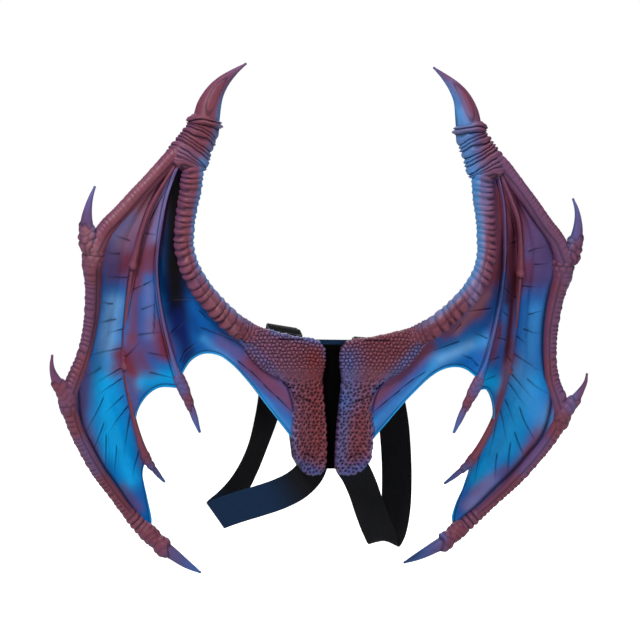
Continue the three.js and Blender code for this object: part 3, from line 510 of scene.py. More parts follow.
@dataclass(frozen=True)
class WingShape:
    """The sizes of one wing, in metres, and the way its shares become places."""

    reach: float = 340 * MM
    height: float = 622 * MM
    sweep: float = 135 * MM
    hang: float = 8 * MM
    front: float = -13.3 * MM
    hang_z: tuple[float, ...] = (-0.34, -0.26, -0.20, -0.10, 0.00, 0.09, 0.20, 0.33, 0.45, 0.67)
    hang_drop: tuple[float, ...] = (-0.6, 0, 0.5, 0.6, 1, 1, 0.1, 0, -0.25, -0.35)
    hang_start: float = 0.70
    hang_end: float = 0.90
    lower_lean: float = 1.6
    upper_lean: float = 2.0
    upper_from: float = 0.35

    def place(self, rows: Array, side: Side) -> Array:
        """Puts rows of shares into the wing's place.

        The border hangs lower on the right wing and higher on the left, by an amount read from a line
        through the hang's rows and eased in towards the border.

        Args:
            rows: Columns x, y and z, and drop where there is a fourth and no more.
            side: Which wing.

        Returns:
            Points in metres.
        """
        x, y, z = rows[:, 0], rows[:, 1], rows[:, 2]
        own = rows[:, 3] if rows.shape[1] == 4 else 0.0
        lean = self.lower_lean * np.maximum(0, -z) + self.upper_lean * np.maximum(0, z - self.upper_from)
        drop = np.interp(z, self.hang_z, self.hang_drop, left=0, right=0)
        drop = drop * ease(self.hang_start, self.hang_end, x + lean)
        return np.stack([
            side.value * x * self.reach,
            y * self.sweep + self.front,
            z * self.height - side.value * self.hang * (drop + own),
        ], axis=1)


SHAPE = WingShape()


def outward(points: Array, faces: list[list[int]]) -> list[list[int]]:
    """Turns the faces of a closed surface outward, by the sign of the volume that they enclose.

    The volume is the sum of the triple products of the faces' corners.

    Args:
        points: The points.
        faces: Lists of point numbers.

    Returns:
        The faces, each reversed if the volume was negative.
    """
    first = np.array([f[:3] for f in faces])
    fourth = np.array([[f[0], f[2], f[3]] if len(f) > 3 else [f[0]] * 3 for f in faces])
    corners = points[np.vstack([first, fourth])]
    volume = np.einsum("ij,ij->", corners[:, 0], np.cross(corners[:, 1], corners[:, 2]))
    return faces if volume > 0 else [f[::-1] for f in faces]


def tube_faces(rings: int, around: int) -> list[list[int]]:
    """Faces of a tube of rings closed at both ends by a pole.

    Each face joins a point, its neighbour round the ring and the two points below them. The poles are the
    two points after the last ring.

    Args:
        rings: How many rings.
        around: Points in a ring.

    Returns:
        Lists of point numbers.
    """
    i, j = np.meshgrid(np.arange(rings - 1), np.arange(around), indexing="ij")
    a, b = i * around + j, i * around + (j + 1) % around
    quads = np.stack([a, b, b + around, a + around], axis=-1).reshape(-1, 4)
    ring = np.arange(around)
    after = (ring + 1) % around
    last = (rings - 1) * around
    top = np.stack([np.full(around, rings * around), after, ring], axis=1)
    bottom = np.stack([np.full(around, rings * around + 1), last + ring, last + after], axis=1)
    return quads.tolist() + top.tolist() + bottom.tolist()


def slab_faces(rows: int, columns: int) -> list[list[int]]:
    """Faces of a closed slab between a fine front grid and a back grid of every third row and column.

    A side face joins one edge of the back grid to the edges of the front grid that it spans.

    Args:
        rows: Points down the front grid, one more than a multiple of three.
        columns: Points across it, likewise.

    Returns:
        Lists of point numbers, the front grid's points first.
    """
    layer = rows * columns
    back_rows, back_columns = (rows - 1) // BACK_STEP + 1, (columns - 1) // BACK_STEP + 1
    faces = []
    for count, across, first in ((rows, columns, 0), (back_rows, back_columns, layer)):
        i, j = np.meshgrid(np.arange(count - 1), np.arange(across - 1), indexing="ij")
        a = i * across + j + first
        quads = np.stack([a, a + 1, a + across + 1, a + across], axis=-1).reshape(-1, 4)
        faces += (quads if first == 0 else quads[:, ::-1]).tolist()
    down, over = np.arange(back_rows - 1), np.arange(back_columns - 1)
    fine = np.arange(BACK_STEP + 1)
    last_row, last_column = (rows - 1) * columns, columns - 1
    far = layer + (back_rows - 1) * back_columns
    sides = (
        (over[:, None] * BACK_STEP + fine[::-1], layer + over, 1),
        (last_row + over[:, None] * BACK_STEP + fine, far + over + 1, -1),
        ((down[:, None] * BACK_STEP + fine) * columns, layer + (down + 1) * back_columns, -back_columns),
        ((down[:, None] * BACK_STEP + fine[::-1]) * columns + last_column,
         layer + down * back_columns + back_columns - 1, back_columns),
    )
    for front, back, step in sides:
        faces += np.hstack([front, back[:, None], (back + step)[:, None]]).tolist()
    return faces


@dataclass
class Skin:
    """A surface before it becomes a mesh: its points, faces, paint, painted shade of its creases, and weave.
    """

    points: Array
    faces: list[list[int]]
    paint: Array
    crease: Array
    weave: Array

    @classmethod
    def tube(cls, rings: Array, poles: Array, paint: Array, crease: Array, round_it: Array, along: Array
             ) -> "Skin":
        """A tube of rings closed by two poles, which take the look of the rings beside them.

        Args:
            rings: Points, with a row for each ring.
            poles: The two poles.
            paint: Colours of the rings' points.
            crease: Painted shade of the rings' points, dark in their creases.
            round_it: Distances round the ring, a row.
            along: Distances along the tube, a column.

        Returns:
            The closed surface.
        """
        weave = np.stack(np.broadcast_arrays(round_it, along), axis=-1).reshape(-1, 2)
        return cls(
            np.vstack([rings.reshape(-1, 3), poles]),
            tube_faces(*rings.shape[:2]),
            np.vstack([paint.reshape(-1, 3), paint[0, 0], paint[-1, 0]]),
            np.concatenate([crease.ravel(), [crease[0].mean(), crease[-1].mean()]]),
            np.vstack([weave, weave[0], weave[-1]]),
        )

    @classmethod
    def slab(cls, front: Array, back: Array, paint: Array, plain: Array, crease: Array, weave: Array
             ) -> "Skin":
        """A slab between a fine painted front and a coarser plain back.

        Args:
            front: The front grid's points.
            back: The back grid's points, one for every third row and column.
            paint: Colours of the front.
            plain: Colours of the back.
            crease: Painted shade of the front, dark in its creases.
            weave: Places of the front grid, X and Z.

        Returns:
            The closed surface.
        """
        return cls(
            np.vstack([front.reshape(-1, 3), back.reshape(-1, 3)]),
            slab_faces(*front.shape[:2]),
            np.vstack([paint.reshape(-1, 3), plain.reshape(-1, 3)]),
            np.concatenate([crease.ravel(), np.zeros(plain.size // 3)]),
            np.vstack([weave.reshape(-1, 2), weave[::BACK_STEP, ::BACK_STEP].reshape(-1, 2)]),
        )

    def to_object(self, name: str) -> bpy.types.Object:
        """Makes the mesh, turned outward, with its paint, crease and weave attributes.

        Args:
            name: The piece's name.

        Returns:
            The new object, at the origin.
        """
        faces = outward(self.points, self.faces)
        mesh = bpy.data.meshes.new(name)
        mesh.from_pydata(self.points.tolist(), [], faces)
        mesh.polygons.foreach_set("use_smooth", np.ones(len(faces), dtype=bool))
        colour = np.ones((len(self.points), 4))
        colour[:, :3] = self.paint
        # The attribute after paint is painted shade: how dark the creases, grooves and gaps are drawn.
        for title, kind, part, values in (
            ("paint", "FLOAT_COLOR", "color", colour),
            ("crease", "FLOAT", "value", np.clip(self.crease, 0, 1)),
            ("weave", "FLOAT2", "vector", self.weave),
        ):
            data = mesh.attributes.new(title, kind, "POINT").data
            data.foreach_set(part, values.astype(np.float32).ravel())
        mesh.update()
        made = bpy.data.objects.new(name, mesh)
        bpy.context.scene.collection.objects.link(made)
        return made


class Paint(Enum):
    """The airbrush paints, as screen values of red, green and blue out of 255."""

    MAROON = (118, 60, 76)
    RUST = (118, 38, 38)
    PLUM = (96, 76, 124)
    LILAC = (118, 120, 176)
    # Rose is a skin paint, and on the rods a painted highlight.
    ROSE = (152, 100, 114)
    SLATE = (60, 100, 168)
    NAVY = (12, 30, 88)
    BLUE = (8, 92, 170)
    SKY = (64, 150, 218)
    CYAN = (0, 170, 240)
    # Near-black painted shade of the deep pocket behind the arm.
    DEEP_SHADE = (10, 1, 8)
    WINE = (62, 20, 32)
    BACK = (80, 54, 68)
    BLACK = (20, 21, 26)
    COAL = (3, 3, 3)
    OVERSPRAY = (20, 52, 86)
    MIST = (150, 190, 236)

    @property
    def light(self) -> Array:
        """The paint as linear light, by the usual power of screens."""
        return (np.array(self.value) / 255.0) ** SCREEN_POWER

    def over(self, shape: tuple[int, ...]) -> Array:
        """The paint laid evenly over points of a shape."""
        return np.broadcast_to(self.light, shape)


@dataclass(frozen=True)
class Stroke:
    """One pass of the airbrush between two places, which are shares of the wing's reach and height.

    The width is in millimetres, and the strength is a share of full cover.
    """

    x0: float
    z0: float
    x1: float
    z1: float
    width: float
    paint: Paint
    strength: float


def sprays(*rows: tuple[float | Paint, ...]) -> tuple[Stroke, ...]:
    """Strokes in their order, each from a row of the fields of Stroke."""
    return tuple(Stroke(*row) for row in rows)


def mixed(colour: Array, paint: Paint, cover: Array) -> Array:
    """A colour covered by a paint where cover is 1 and left bare where it is 0."""
    return colour * (1 - cover[..., None]) + paint.light * cover[..., None]


def brushed(points: Array, colour: Array, strokes: tuple[Stroke, ...], side: Side) -> Array:
    """Lays airbrush strokes over a colour, one after another.

    Each stroke covers by its strength times a bell curve of the distance from its line, seen from the front.

    Args:
        points: Places of the surface, in rows or a grid.
        colour: Colours of the surface, in the same shape.
        strokes: The strokes in their order.
        side: Which wing.

    Returns:
        The colours.
    """
    flat = points[..., [0, 2]]
    scale = np.array([side.value * SHAPE.reach, SHAPE.height])
    for s in strokes:
        away, _ = to_segment(flat, np.array([s.x0, s.z0]) * scale, np.array([s.x1, s.z1]) * scale)
        colour = mixed(colour, s.paint, s.strength * bell(away, s.width * MM))
    return colour


@dataclass
class FoamRod:
    """A rod or horn of foam: elliptical rings square to a path, closed by a dome at each end."""

    slot: ClassVar[str] = "ringed_foam"
    node: str
    stations: Array
    width: float
    around: int = 40
    pitch: float = 1.6 * MM
    dome_rings: int = 4
    dome_depth: float = 1.0
    blue: float = 0.0
    # How far the raised tops take back the base paint, and a rose painted highlight.
    brush: float = 0.40
    base: Paint = Paint.MAROON
    least: float = 1.5 * MM

    def relief(self, run: Array, total: float, ways: Array) -> tuple[Array, Array]:
        """How far the surface stands out of the plain rod, and how dark its creases are painted as shade.

        Args:
            run: Distance along the path, a column.
            total: Length of the path.
            ways: Unit directions out of the path, with X outward from the middle line.

        Returns:
            Heights in metres and the painted shade of the creases from 0 to 1, both in the shape of the
            grid.
        """
        return np.zeros(ways.shape[:2]), np.zeros(ways.shape[:2])

    def colours(self, run: Array, total: float, ways: Array, points: Array, side: Side) -> Array:
        """Paints the rod: its base, blue where it faces the middle line and plain behind.

        Args:
            run: Distance along the path, a column.
            total: Length of the path.
            ways: Unit directions out of the path, with X outward from the middle line.
            points: Places of the surface.
            side: Which wing.

        Returns:
            Colours in the shape of the grid.
        """
        colour = mixed(self.base.over(points.shape), Paint.PLUM, 0.40 * ease(0.2, 0.9, ways[..., 0]))
        colour = brushed(points, colour, ROD_STROKES[side], side)
        colour = mixed(colour, Paint.SKY, self.blue * ease(0.30, 0.95, -ways[..., 0]))
        return mixed(colour, Paint.BACK, ease(0.15, 0.6, ways[..., 1]))

    def skin(self, side: Side) -> Skin:
        """Sweeps the rings along the path.

        A ring's point is the centre, plus the direction across times the half width and the cosine of its
        angle, plus the direction to the front times the half depth and the sine.

        Args:
            side: Which wing.

        Returns:
            The closed surface.
        """
        fine = np.linspace(0, 1, ROD_CURVE_STEPS)
        path = through(SHAPE.place(self.stations[:, :3], side), fine)
        sizes = through(self.stations[:, 3:5], fine, centripetal=False) * self.width / 2
        sizes = np.maximum(sizes, self.least)
        run = lengths_along(path)
        total = float(run[-1])
        even = np.linspace(0, total, max(12, round(total / self.pitch)) + 1)
        centre, half = read(path, even, run), read(sizes, even, run)
        tangent = unit(np.gradient(centre, axis=0))
        angle = np.linspace(0, np.pi / 2, self.dome_rings + 1)[1:-1]
        reach = half.min(axis=1) * self.dome_depth
        centre = np.vstack([
            centre[0] - tangent[0] * (np.sin(angle[::-1]) * reach[0])[:, None],
            centre,
            centre[-1] + tangent[-1] * (np.sin(angle) * reach[-1])[:, None],
        ])
        shrink = np.concatenate([np.cos(angle[::-1]), np.ones(len(even)), np.cos(angle)])
        extra = len(angle)
        half = np.pad(half, ((extra, extra), (0, 0)), mode="edge") * shrink[:, None]
        tangent = np.pad(tangent, ((extra, extra), (0, 0)), mode="edge")
        even = np.pad(even, extra, mode="edge")[:, None]
        ahead = np.array([0.0, -1.0, 0.0])
        front = unit(ahead - tangent * (tangent @ ahead)[:, None])
        across = np.cross(tangent, front)
        turn = 2 * np.pi * np.arange(self.around)[None, :] / self.around
        ways = across[:, None] * np.cos(turn)[..., None] + front[:, None] * np.sin(turn)[..., None]
        outward = ways * np.array([side.value, 1, 1])
        height, crease = self.relief(even, total, outward)
        height = height * shrink[:, None]
        rings = centre[:, None] + (
            across[:, None] * ((half[:, :1] + height) * np.cos(turn))[..., None]
            + front[:, None] * ((half[:, 1:] + height) * np.sin(turn))[..., None]
        )
        paint = self.colours(even, total, outward, rings, side)
        # The raised tops on the front take back the base paint, and a rose painted highlight.
        tops = np.clip(height / max(float(height.max()), 0.1 * MM), 0, 1) * ease(0.5, 0.0, outward[..., 1])
        paint = mixed(mixed(paint, self.base, self.brush * tops), Paint.ROSE, 0.35 * self.brush * tops)
        poles = np.stack([
            centre[0] - tangent[0] * reach[0] * (1 - math.sin(angle[-1])),
            centre[-1] + tangent[-1] * reach[-1] * (1 - math.sin(angle[-1])),
        ])
        return Skin.tube(rings, poles, paint, crease, turn * self.width / 2, even)


@dataclass
class RingedArm(FoamRod):
    """The arm, with bulging rings like a row of vertebrae that grow towards the shoulder."""

    first_ring: float = 6.4 * MM
    last_ring: float = 11.5 * MM
    ring_rise: float = 3.6 * MM
    cell_rise: float = 1.8 * MM
    cell_pitch: float = 5.0 * MM
    edge_rise: float = 0.8 * MM
    split_depth: float = 1.3 * MM

    def relief(self, run: Array, total: float, ways: Array) -> tuple[Array, Array]:
        """Rings whose pitch grows along the arm, bent into arcs, each with its own height and bulge.

        The phase is the logarithm of one plus the growth times the distance, so each ring is longer than the
        last by the same share.
        """
        growth = (self.last_ring - self.first_ring) / total
        arc = 2.8 * MM * (ways[..., 1] + 0.8) - 1.8 * MM * ways[..., 0]
        phase = np.log1p(growth * np.clip(run + arc, 0, None) / self.first_ring) / growth
        phase = phase + 0.14 * np.sin(1.9 * phase) + 0.10 * np.sin(4.3 * phase + 1.5 * ways[..., 0])
        ring = np.floor(phase)
        rise, valley = lobes(phase, 0.6)
        strength = 1 + 0.35 * wobble(ring, 1.0)
        facing = ease(0.75, 0.0, ways[..., 1])
        flatten = ease(total, total - 40 * MM, run)
        bulge = bell(ways[..., 0] - 0.45 - 0.2 * wobble(ring, 5.0), 0.45)
        small, _ = lobes(2 * phase + 0.5, 0.7)
        edge = self.edge_rise * (small - 0.5) * ease(0.45, 0.8, -ways[..., 0])
        cells = ease(total - 42 * MM, total - 18 * MM, run) * facing
        bumps, gaps = cobbles((run + arc) / self.cell_pitch, ways, 18, 0.7, waver=0.2)
        height = self.ring_rise * strength * (rise - 0.6) * (0.15 + 0.40 * facing + 0.75 * bulge) + edge
        split = bell(ways[..., 0] + 0.15 - 0.12 * wobble(ring, 3.0), 0.12) * facing
        split = split * ease(0.25 * total, 0.45 * total, run)
        height = (height - self.split_depth * split) * flatten + self.cell_rise * cells * (bumps - 0.3)
        # Painted shade in the ring valleys and the split, and between the cells.
        lines = np.maximum(valley * facing * (0.45 + 0.25 * bulge), 0.4 * split) * flatten
        return height, np.maximum(lines, 0.65 * cells * gaps)


@dataclass
class WristCollar(FoamRod):
    """The wrinkled wrist: thick and thin folds that fan out towards the upper spar."""

    folds: int = 12
    fold_rise: float = 3.6 * MM
    fine_rise: float = 0.6 * MM

    def relief(self, run: Array, total: float, ways: Array) -> tuple[Array, Array]:
        """Folds of uneven thickness, closer together on the inner side than on the outer one, that waver."""
        share = run / total
        ends = ease(-0.01, 0.04, share)
        fan = share * (1 + 0.12 * ways[..., 0]) - 0.06 * ways[..., 0] * (0.4 + share)
        waver = 0.30 * np.sin(7.0 * share * np.pi + 1.2 * ways[..., 0])
        waver = waver + 0.16 * np.sin(3.2 * ways[..., 0] + 9 * share)
        phase = self.folds * fan + waver + 0.04 * np.sin(9 * ways[..., 0] + 4 * ways[..., 2])
        fold = np.floor(phase)
        rise, valley = lobes(phase, 0.5)
        strength = 1 + 0.55 * wobble(fold, 2.0)
        first = bell(share - 0.10, 0.05)
        height = self.fold_rise * (strength * (rise - 0.55) + 0.7 * first)
        fine, fine_valley = lobes(2.6 * phase + 1.3 * ways[..., 2] + 0.7 * wobble(fold, 6.0), 0.8)
        height = height + self.fine_rise * (fine - 0.5)
        # Painted shade in the valleys of the thick and thin folds.
        return height * (0.4 + 0.6 * ends), np.clip(0.9 * valley + 0.25 * fine_valley, 0, 1) * ends


@dataclass
class Spar(FoamRod):
    """A spar with rings on its outer half, a groove along its front and rounded plates at its knuckles."""

    ring: float = 7.0 * MM
    rise: float = 1.3 * MM
    groove: float = 0.9 * MM
    valley: float = 0.55
    lumps: tuple[tuple[float, float, int], ...] = ()
    lump_pitch: float = 8 * MM

    def relief(self, run: Array, total: float, ways: Array) -> tuple[Array, Array]:
        """Rings outside the groove, and lumps given as share of the length, size and count round it."""
        outer = ease(-0.45, 0.15, ways[..., 0]) * ease(0.6, 0.1, ways[..., 1])
        place = run + 1.6 * MM * ways[..., 1] + 2.2 * MM * np.sin(run / (9 * MM))
        place = place + 1.2 * MM * np.sin(run / (4.1 * MM))
        phase = place / self.ring
        rise, valley = lobes(phase, 0.6)
        strength = 1 + 0.7 * wobble(np.floor(phase), 7.0)
        height = self.rise * strength * (rise - 0.5) * outer
        front = ease(0.2, -0.4, ways[..., 1])
        line = bell(ways[..., 0] + 0.42 + 0.05 * np.sin(run / (13 * MM)), 0.13) * front
        height = height - self.groove * line
        # Painted shade in the ring valleys and the groove, and at the knuckles between the lumps.
        crease = np.maximum(self.valley * valley * outer, 0.6 * line)
        for share, size, count in self.lumps:
            near = bell((run / total - share) * total, size * 5)
            bumps, gaps = cobbles(run / self.lump_pitch, ways, count)
            height = height * (1 - near) + size * near * (0.05 + 0.8 * bumps)
            crease = np.maximum(crease * (1 - near), 0.6 * near * gaps)
        return height, crease


@dataclass
class BeadedSpar(Spar):
    """The lower spar, ringed at first and beaded towards the tip."""

    bead: float = 8.0 * MM
    bead_rise: float = 3.0 * MM

    def relief(self, run: Array, total: float, ways: Array) -> tuple[Array, Array]:
        """The spar's own rings, and beads that set in over the last third."""
        height, crease = super().relief(run, total, ways)
        lower = ease(0.78, 0.86, run / total)
        rise, valley = lobes(run / self.bead, 0.5)
        facing = ease(0.7, 0.0, ways[..., 1])
        # Painted shade in the bead valleys takes over from the rings' over the last third.
        return (
            height * (1 - lower) + lower * facing * self.bead_rise * (rise - 0.45),
            np.maximum(crease * (1 - lower), lower * facing * valley * 0.9),
        )


@dataclass
class Rib(FoamRod):
    """A narrow ridge that runs down between two membranes, with rounded knuckles."""

    slot: ClassVar[str] = "rib_foam"
    knuckles: tuple[float, ...] = ()
    knuckle_rise: float = 2.2 * MM
    sharpness: float = 0.8

    def relief(self, run: Array, total: float, ways: Array) -> tuple[Array, Array]:
        """Draws the sides in so that the front is a narrow ridge, and swells it at the knuckles."""
        share = run / total
        height = -self.sharpness * 0.5 * self.width * np.abs(ways[..., 0]) ** 1.5
        height = height * (1 - ease(0.80, 1.0, share))
        crease = np.zeros(ways.shape[:2])
        for place in self.knuckles:
            near = bell((share - place) * total, 4.5 * MM)
            height = height + self.knuckle_rise * near
            # Below each knuckle, a groove with painted shade.
            below = bell((share - place) * total - 6.0 * MM, 1.3 * MM)
            crease = crease + 0.9 * below * ease(0.4, -0.2, ways[..., 1])
            height = height - 1.2 * MM * below
        return height, crease


@dataclass
class Claw(FoamRod):
    """A smooth horn that comes out of a lumpy sheath, with a shallow groove on its face."""

    slot: ClassVar[str] = "claw_foam"
    groove: float = 0.0
    blue_tip: float = 0.0
    sheath: float = 0.0
    sheath_rise: float = 0.9 * MM
    slim: float = 0.8 * MM
    knuckle: float = 0.0
    full: float = 0.0
    horn: Paint = Paint.PLUM
    dry: float = 0.5

    def edge_of_sheath(self, run: Array, total: float, ways: Array) -> Array:
        """How far a place is past the sheath's slanted edge, as a share of the length."""
        return run / total - self.sheath - 0.06 * ways[..., 0] - 0.03 * np.sin(6 * ways[..., 0])

    def relief(self, run: Array, total: float, ways: Array) -> tuple[Array, Array]:
        """A groove round an oval on the face, and a step where the horn leaves its sheath."""
        share = run / total
        oval = ((share - 0.36) / 0.28) ** 2 + ((ways[..., 0] - 0.05) / 0.40) ** 2
        facing = ease(0.1, -0.4, ways[..., 1]) * ease(-0.65, -0.05, ways[..., 0])
        line = bell(np.sqrt(oval) - 1, 0.13) * facing
        height = -self.groove * line
        # Painted shade in the groove round the oval.
        crease = 0.75 * line * min(1.0, self.groove / (0.5 * MM))
        if self.sheath > 0:
            past = self.edge_of_sheath(run, total, ways)
            step = ease(0.03, -0.02, past)
            lumps, gaps = lobes(run / (7.5 * MM) + 0.25 * np.sin(4 * ways[..., 0]), 0.7)
            waist = 1 - 0.75 * bell(past + 0.17, 0.045)
            height = height + self.sheath_rise * step * (0.7 + 0.6 * lumps) * waist
            height = height - self.slim * (1 - step) * ease(1.0, 0.6, share)
            height = height + self.full * np.sin(np.pi * np.clip(past / (1 - self.sheath), 0, 1)) ** 0.8
            # Painted shade at the sheath's lip and between its lumps.
            lip = bell(past - 0.015, 0.02)
            crease = np.maximum(crease, np.maximum(0.7 * lip, 0.35 * gaps * step))
            crease = crease * ease(0.6, 0.1, ways[..., 1])
        if self.knuckle > 0:
            near = ease(0.34, 0.20, share + 0.05 * ways[..., 0])
            place = run / (9 * MM) + 0.3 * np.sin(3 * ways[..., 0])
            bumps, gaps = cobbles(place, ways, 6)
            height = height * (1 - near) + self.knuckle * near * (bumps - 0.2)
            # Painted shade between the knuckle's lumps.
            crease = np.maximum(crease * (1 - near), 0.6 * near * gaps)
        return height, crease

    def colours(self, run: Array, total: float, ways: Array, points: Array, side: Side) -> Array:
        """The rod's own paint, the horn's past the sheath, a dark inner edge and blue sprayed on the tip."""
        colour = super().colours(run, total, ways, points, side)
        front = ease(0.7, 0.1, ways[..., 1])
        if self.sheath > 0:
            past = self.edge_of_sheath(run, total, ways)
            colour = mixed(colour, self.horn, self.dry * ease(-0.01, 0.05, past) * front)
        tip = self.blue_tip * ease(0.35, 1.0, run / total) * np.ones(ways.shape[:2])
        colour = mixed(colour, Paint.SLATE, tip * front)
        return mixed(colour, Paint.NAVY, 0.55 * ease(0.88, 1.0, -ways[..., 0]) * front)


@dataclass(frozen=True)
class Edge:
    """How a rod stands over the edge of a membrane.

    It gives the rod's half width, how dark the painted shade in the groove beside it is, the height of the
    fillet there, the half width of that shade in millimetres, and how far past the rod the shade lies.
    """

    half: float
    dark: float
    fillet: float = 2.0 * MM
    spread: float = 1.6
    shift: float = 0.0


@dataclass
class Membrane:
    """A panel of foam skin between two rods and its free edge, with folds, wrinkles and a rim.

    The panel leaves the outer line at the share that leaves gives. The billow follows a quarter of a sine
    down the panel, which starts at the angle phase. Each fold is its share across, its width and its height.
    """

    slot: ClassVar[str] = "membrane_foam"
    node: str
    outer: Edge
    inner: Edge
    outer_line: Array
    inner_line: Array
    scallop: Array
    rows: int
    columns: int
    billow: float
    wrinkles: Array
    folds: tuple[tuple[float, float, float], ...] = ()
    thickness: float = 3 * MM
    phase: float = 0.35
    leaves: float = 1.0
    groove: float = 0.9 * MM
    wrinkle_depth: float = 1.1 * MM
    lip_rise: float = 0.7 * MM
    lip_at: float = 1.9 * MM
    rim_rise: float = 0.9 * MM
    rim_at: float = 3.4 * MM

    def centre(self, side: Side) -> Array:
        """The middle surface: a Coons patch, billowed to the wearer by a sine across and a sine down.

        Its edges are the lines of the two rods, a straight top and the scallop.
        """
        u, v = np.linspace(0, 1, self.columns), np.linspace(0, 1, self.rows)
        outer, inner = SHAPE.place(self.outer_line, side), SHAPE.place(self.inner_line, side)
        top = outer[0] + (inner[0] - outer[0]) * u[:, None]
        bottom = through(SHAPE.place(self.scallop, side), u)
        patch = coons(through(outer, v * self.leaves), through(inner, v), top, bottom)
        bulge = np.sin(np.pi * u)[None, :] * np.sin(np.pi / 2 * v + self.phase)[:, None]
        patch[..., 1] += self.billow * bulge
        return patch

    def relief(self, patch: Array) -> tuple[Array, Array, Array]:
        """Folds, wrinkles, fillets beside the rods and the rim of the free edge.

        Args:
            patch: The middle surface.

        Returns:
            Heights in metres, the painted shade of wrinkles, grooves and the rim from 0 to 1, and distances
            from the free edge.
        """
        u = np.linspace(0, 1, self.columns)[None, :]
        v = np.linspace(0, 1, self.rows)[:, None]
        from_outer = lengths_over(patch, 1)
        from_inner = from_outer[:, -1:] - from_outer
        from_top = lengths_over(patch, 0)
        from_free = from_top[-1:] - from_top
        height = np.zeros(patch.shape[:2])
        crease = np.zeros(patch.shape[:2])
        for edge, away in ((self.outer, from_outer), (self.inner, from_inner)):
            height += edge.fillet * bell(away, edge.half + 3 * MM)
            # Painted shade in the groove beside the rod.
            line = bell(away - edge.half - edge.shift, edge.spread * MM)
            crease = np.maximum(crease, edge.dark * line)
            height -= self.groove * edge.dark * line
        for where, width, rise in self.folds:
            height += rise * bell(u - where, width) * ease(0.0, 0.25, v) * ease(1.0, 0.72, v)
        seen = patch[..., [0, 2]]
        size = np.array([self.columns, self.rows] * 2) - 1
        for c0, r0, c1, r1 in np.rint(self.wrinkles * size).astype(int):
            first, last = seen[r0, c0], seen[r1, c1]
            away, along = to_segment(seen, 1.15 * first - 0.15 * last, 1.25 * last - 0.25 * first)
            fade = np.clip(1.08 - along**1.5, 0, 1) * ease(0.0, 0.08, along)
            # Each wrinkle is a groove with painted shade, and a raised lip beside it.
            line = bell(away, (0.45 + 0.40 * fade) * MM) * fade
            lip = bell(away - self.lip_at, 1.0 * MM) * fade
            height += -self.wrinkle_depth * line + self.lip_rise * lip
            crease = np.maximum(crease, 0.85 * line)
        height += self.rim_rise * bell(from_free - 1.0 * MM, 1.3 * MM)
        # A groove inside the rim, with painted shade.
        rim = bell(from_free - self.rim_at, 0.9 * MM)
        height -= self.groove * rim
        return height, np.maximum(crease, 0.75 * rim), from_free

    def skin(self, side: Side, strokes: tuple[Stroke, ...]) -> Skin:
        """Gives the middle surface its wall: the front takes the relief, and the back its broad part only.

        Args:
            side: Which wing.
            strokes: The airbrush strokes of this wing's skin.

        Returns:
            The closed surface.
        """
        patch = self.centre(side)
        normals = grid_normals(patch)
        height, crease, from_free = self.relief(patch)
        front = patch + normals * (self.thickness / 2 + height)[..., None]
        back = patch - normals * (self.thickness / 2 - 0.5 * np.clip(height, 0, None))[..., None]
        back, back_free = back[::BACK_STEP, ::BACK_STEP], from_free[::BACK_STEP, ::BACK_STEP]
        colour = brushed(front, Paint.BLUE.over(front.shape), strokes, side)
        colour = mixed(colour, Paint.CYAN, 0.60 * bell(from_free, 3.2 * MM))
        plain = mixed(Paint.BACK.over(back.shape), Paint.BLUE, 0.6 * bell(back_free, 6.0 * MM))
        return Skin.slab(front, back, colour, plain, crease, patch[..., [0, 2]])


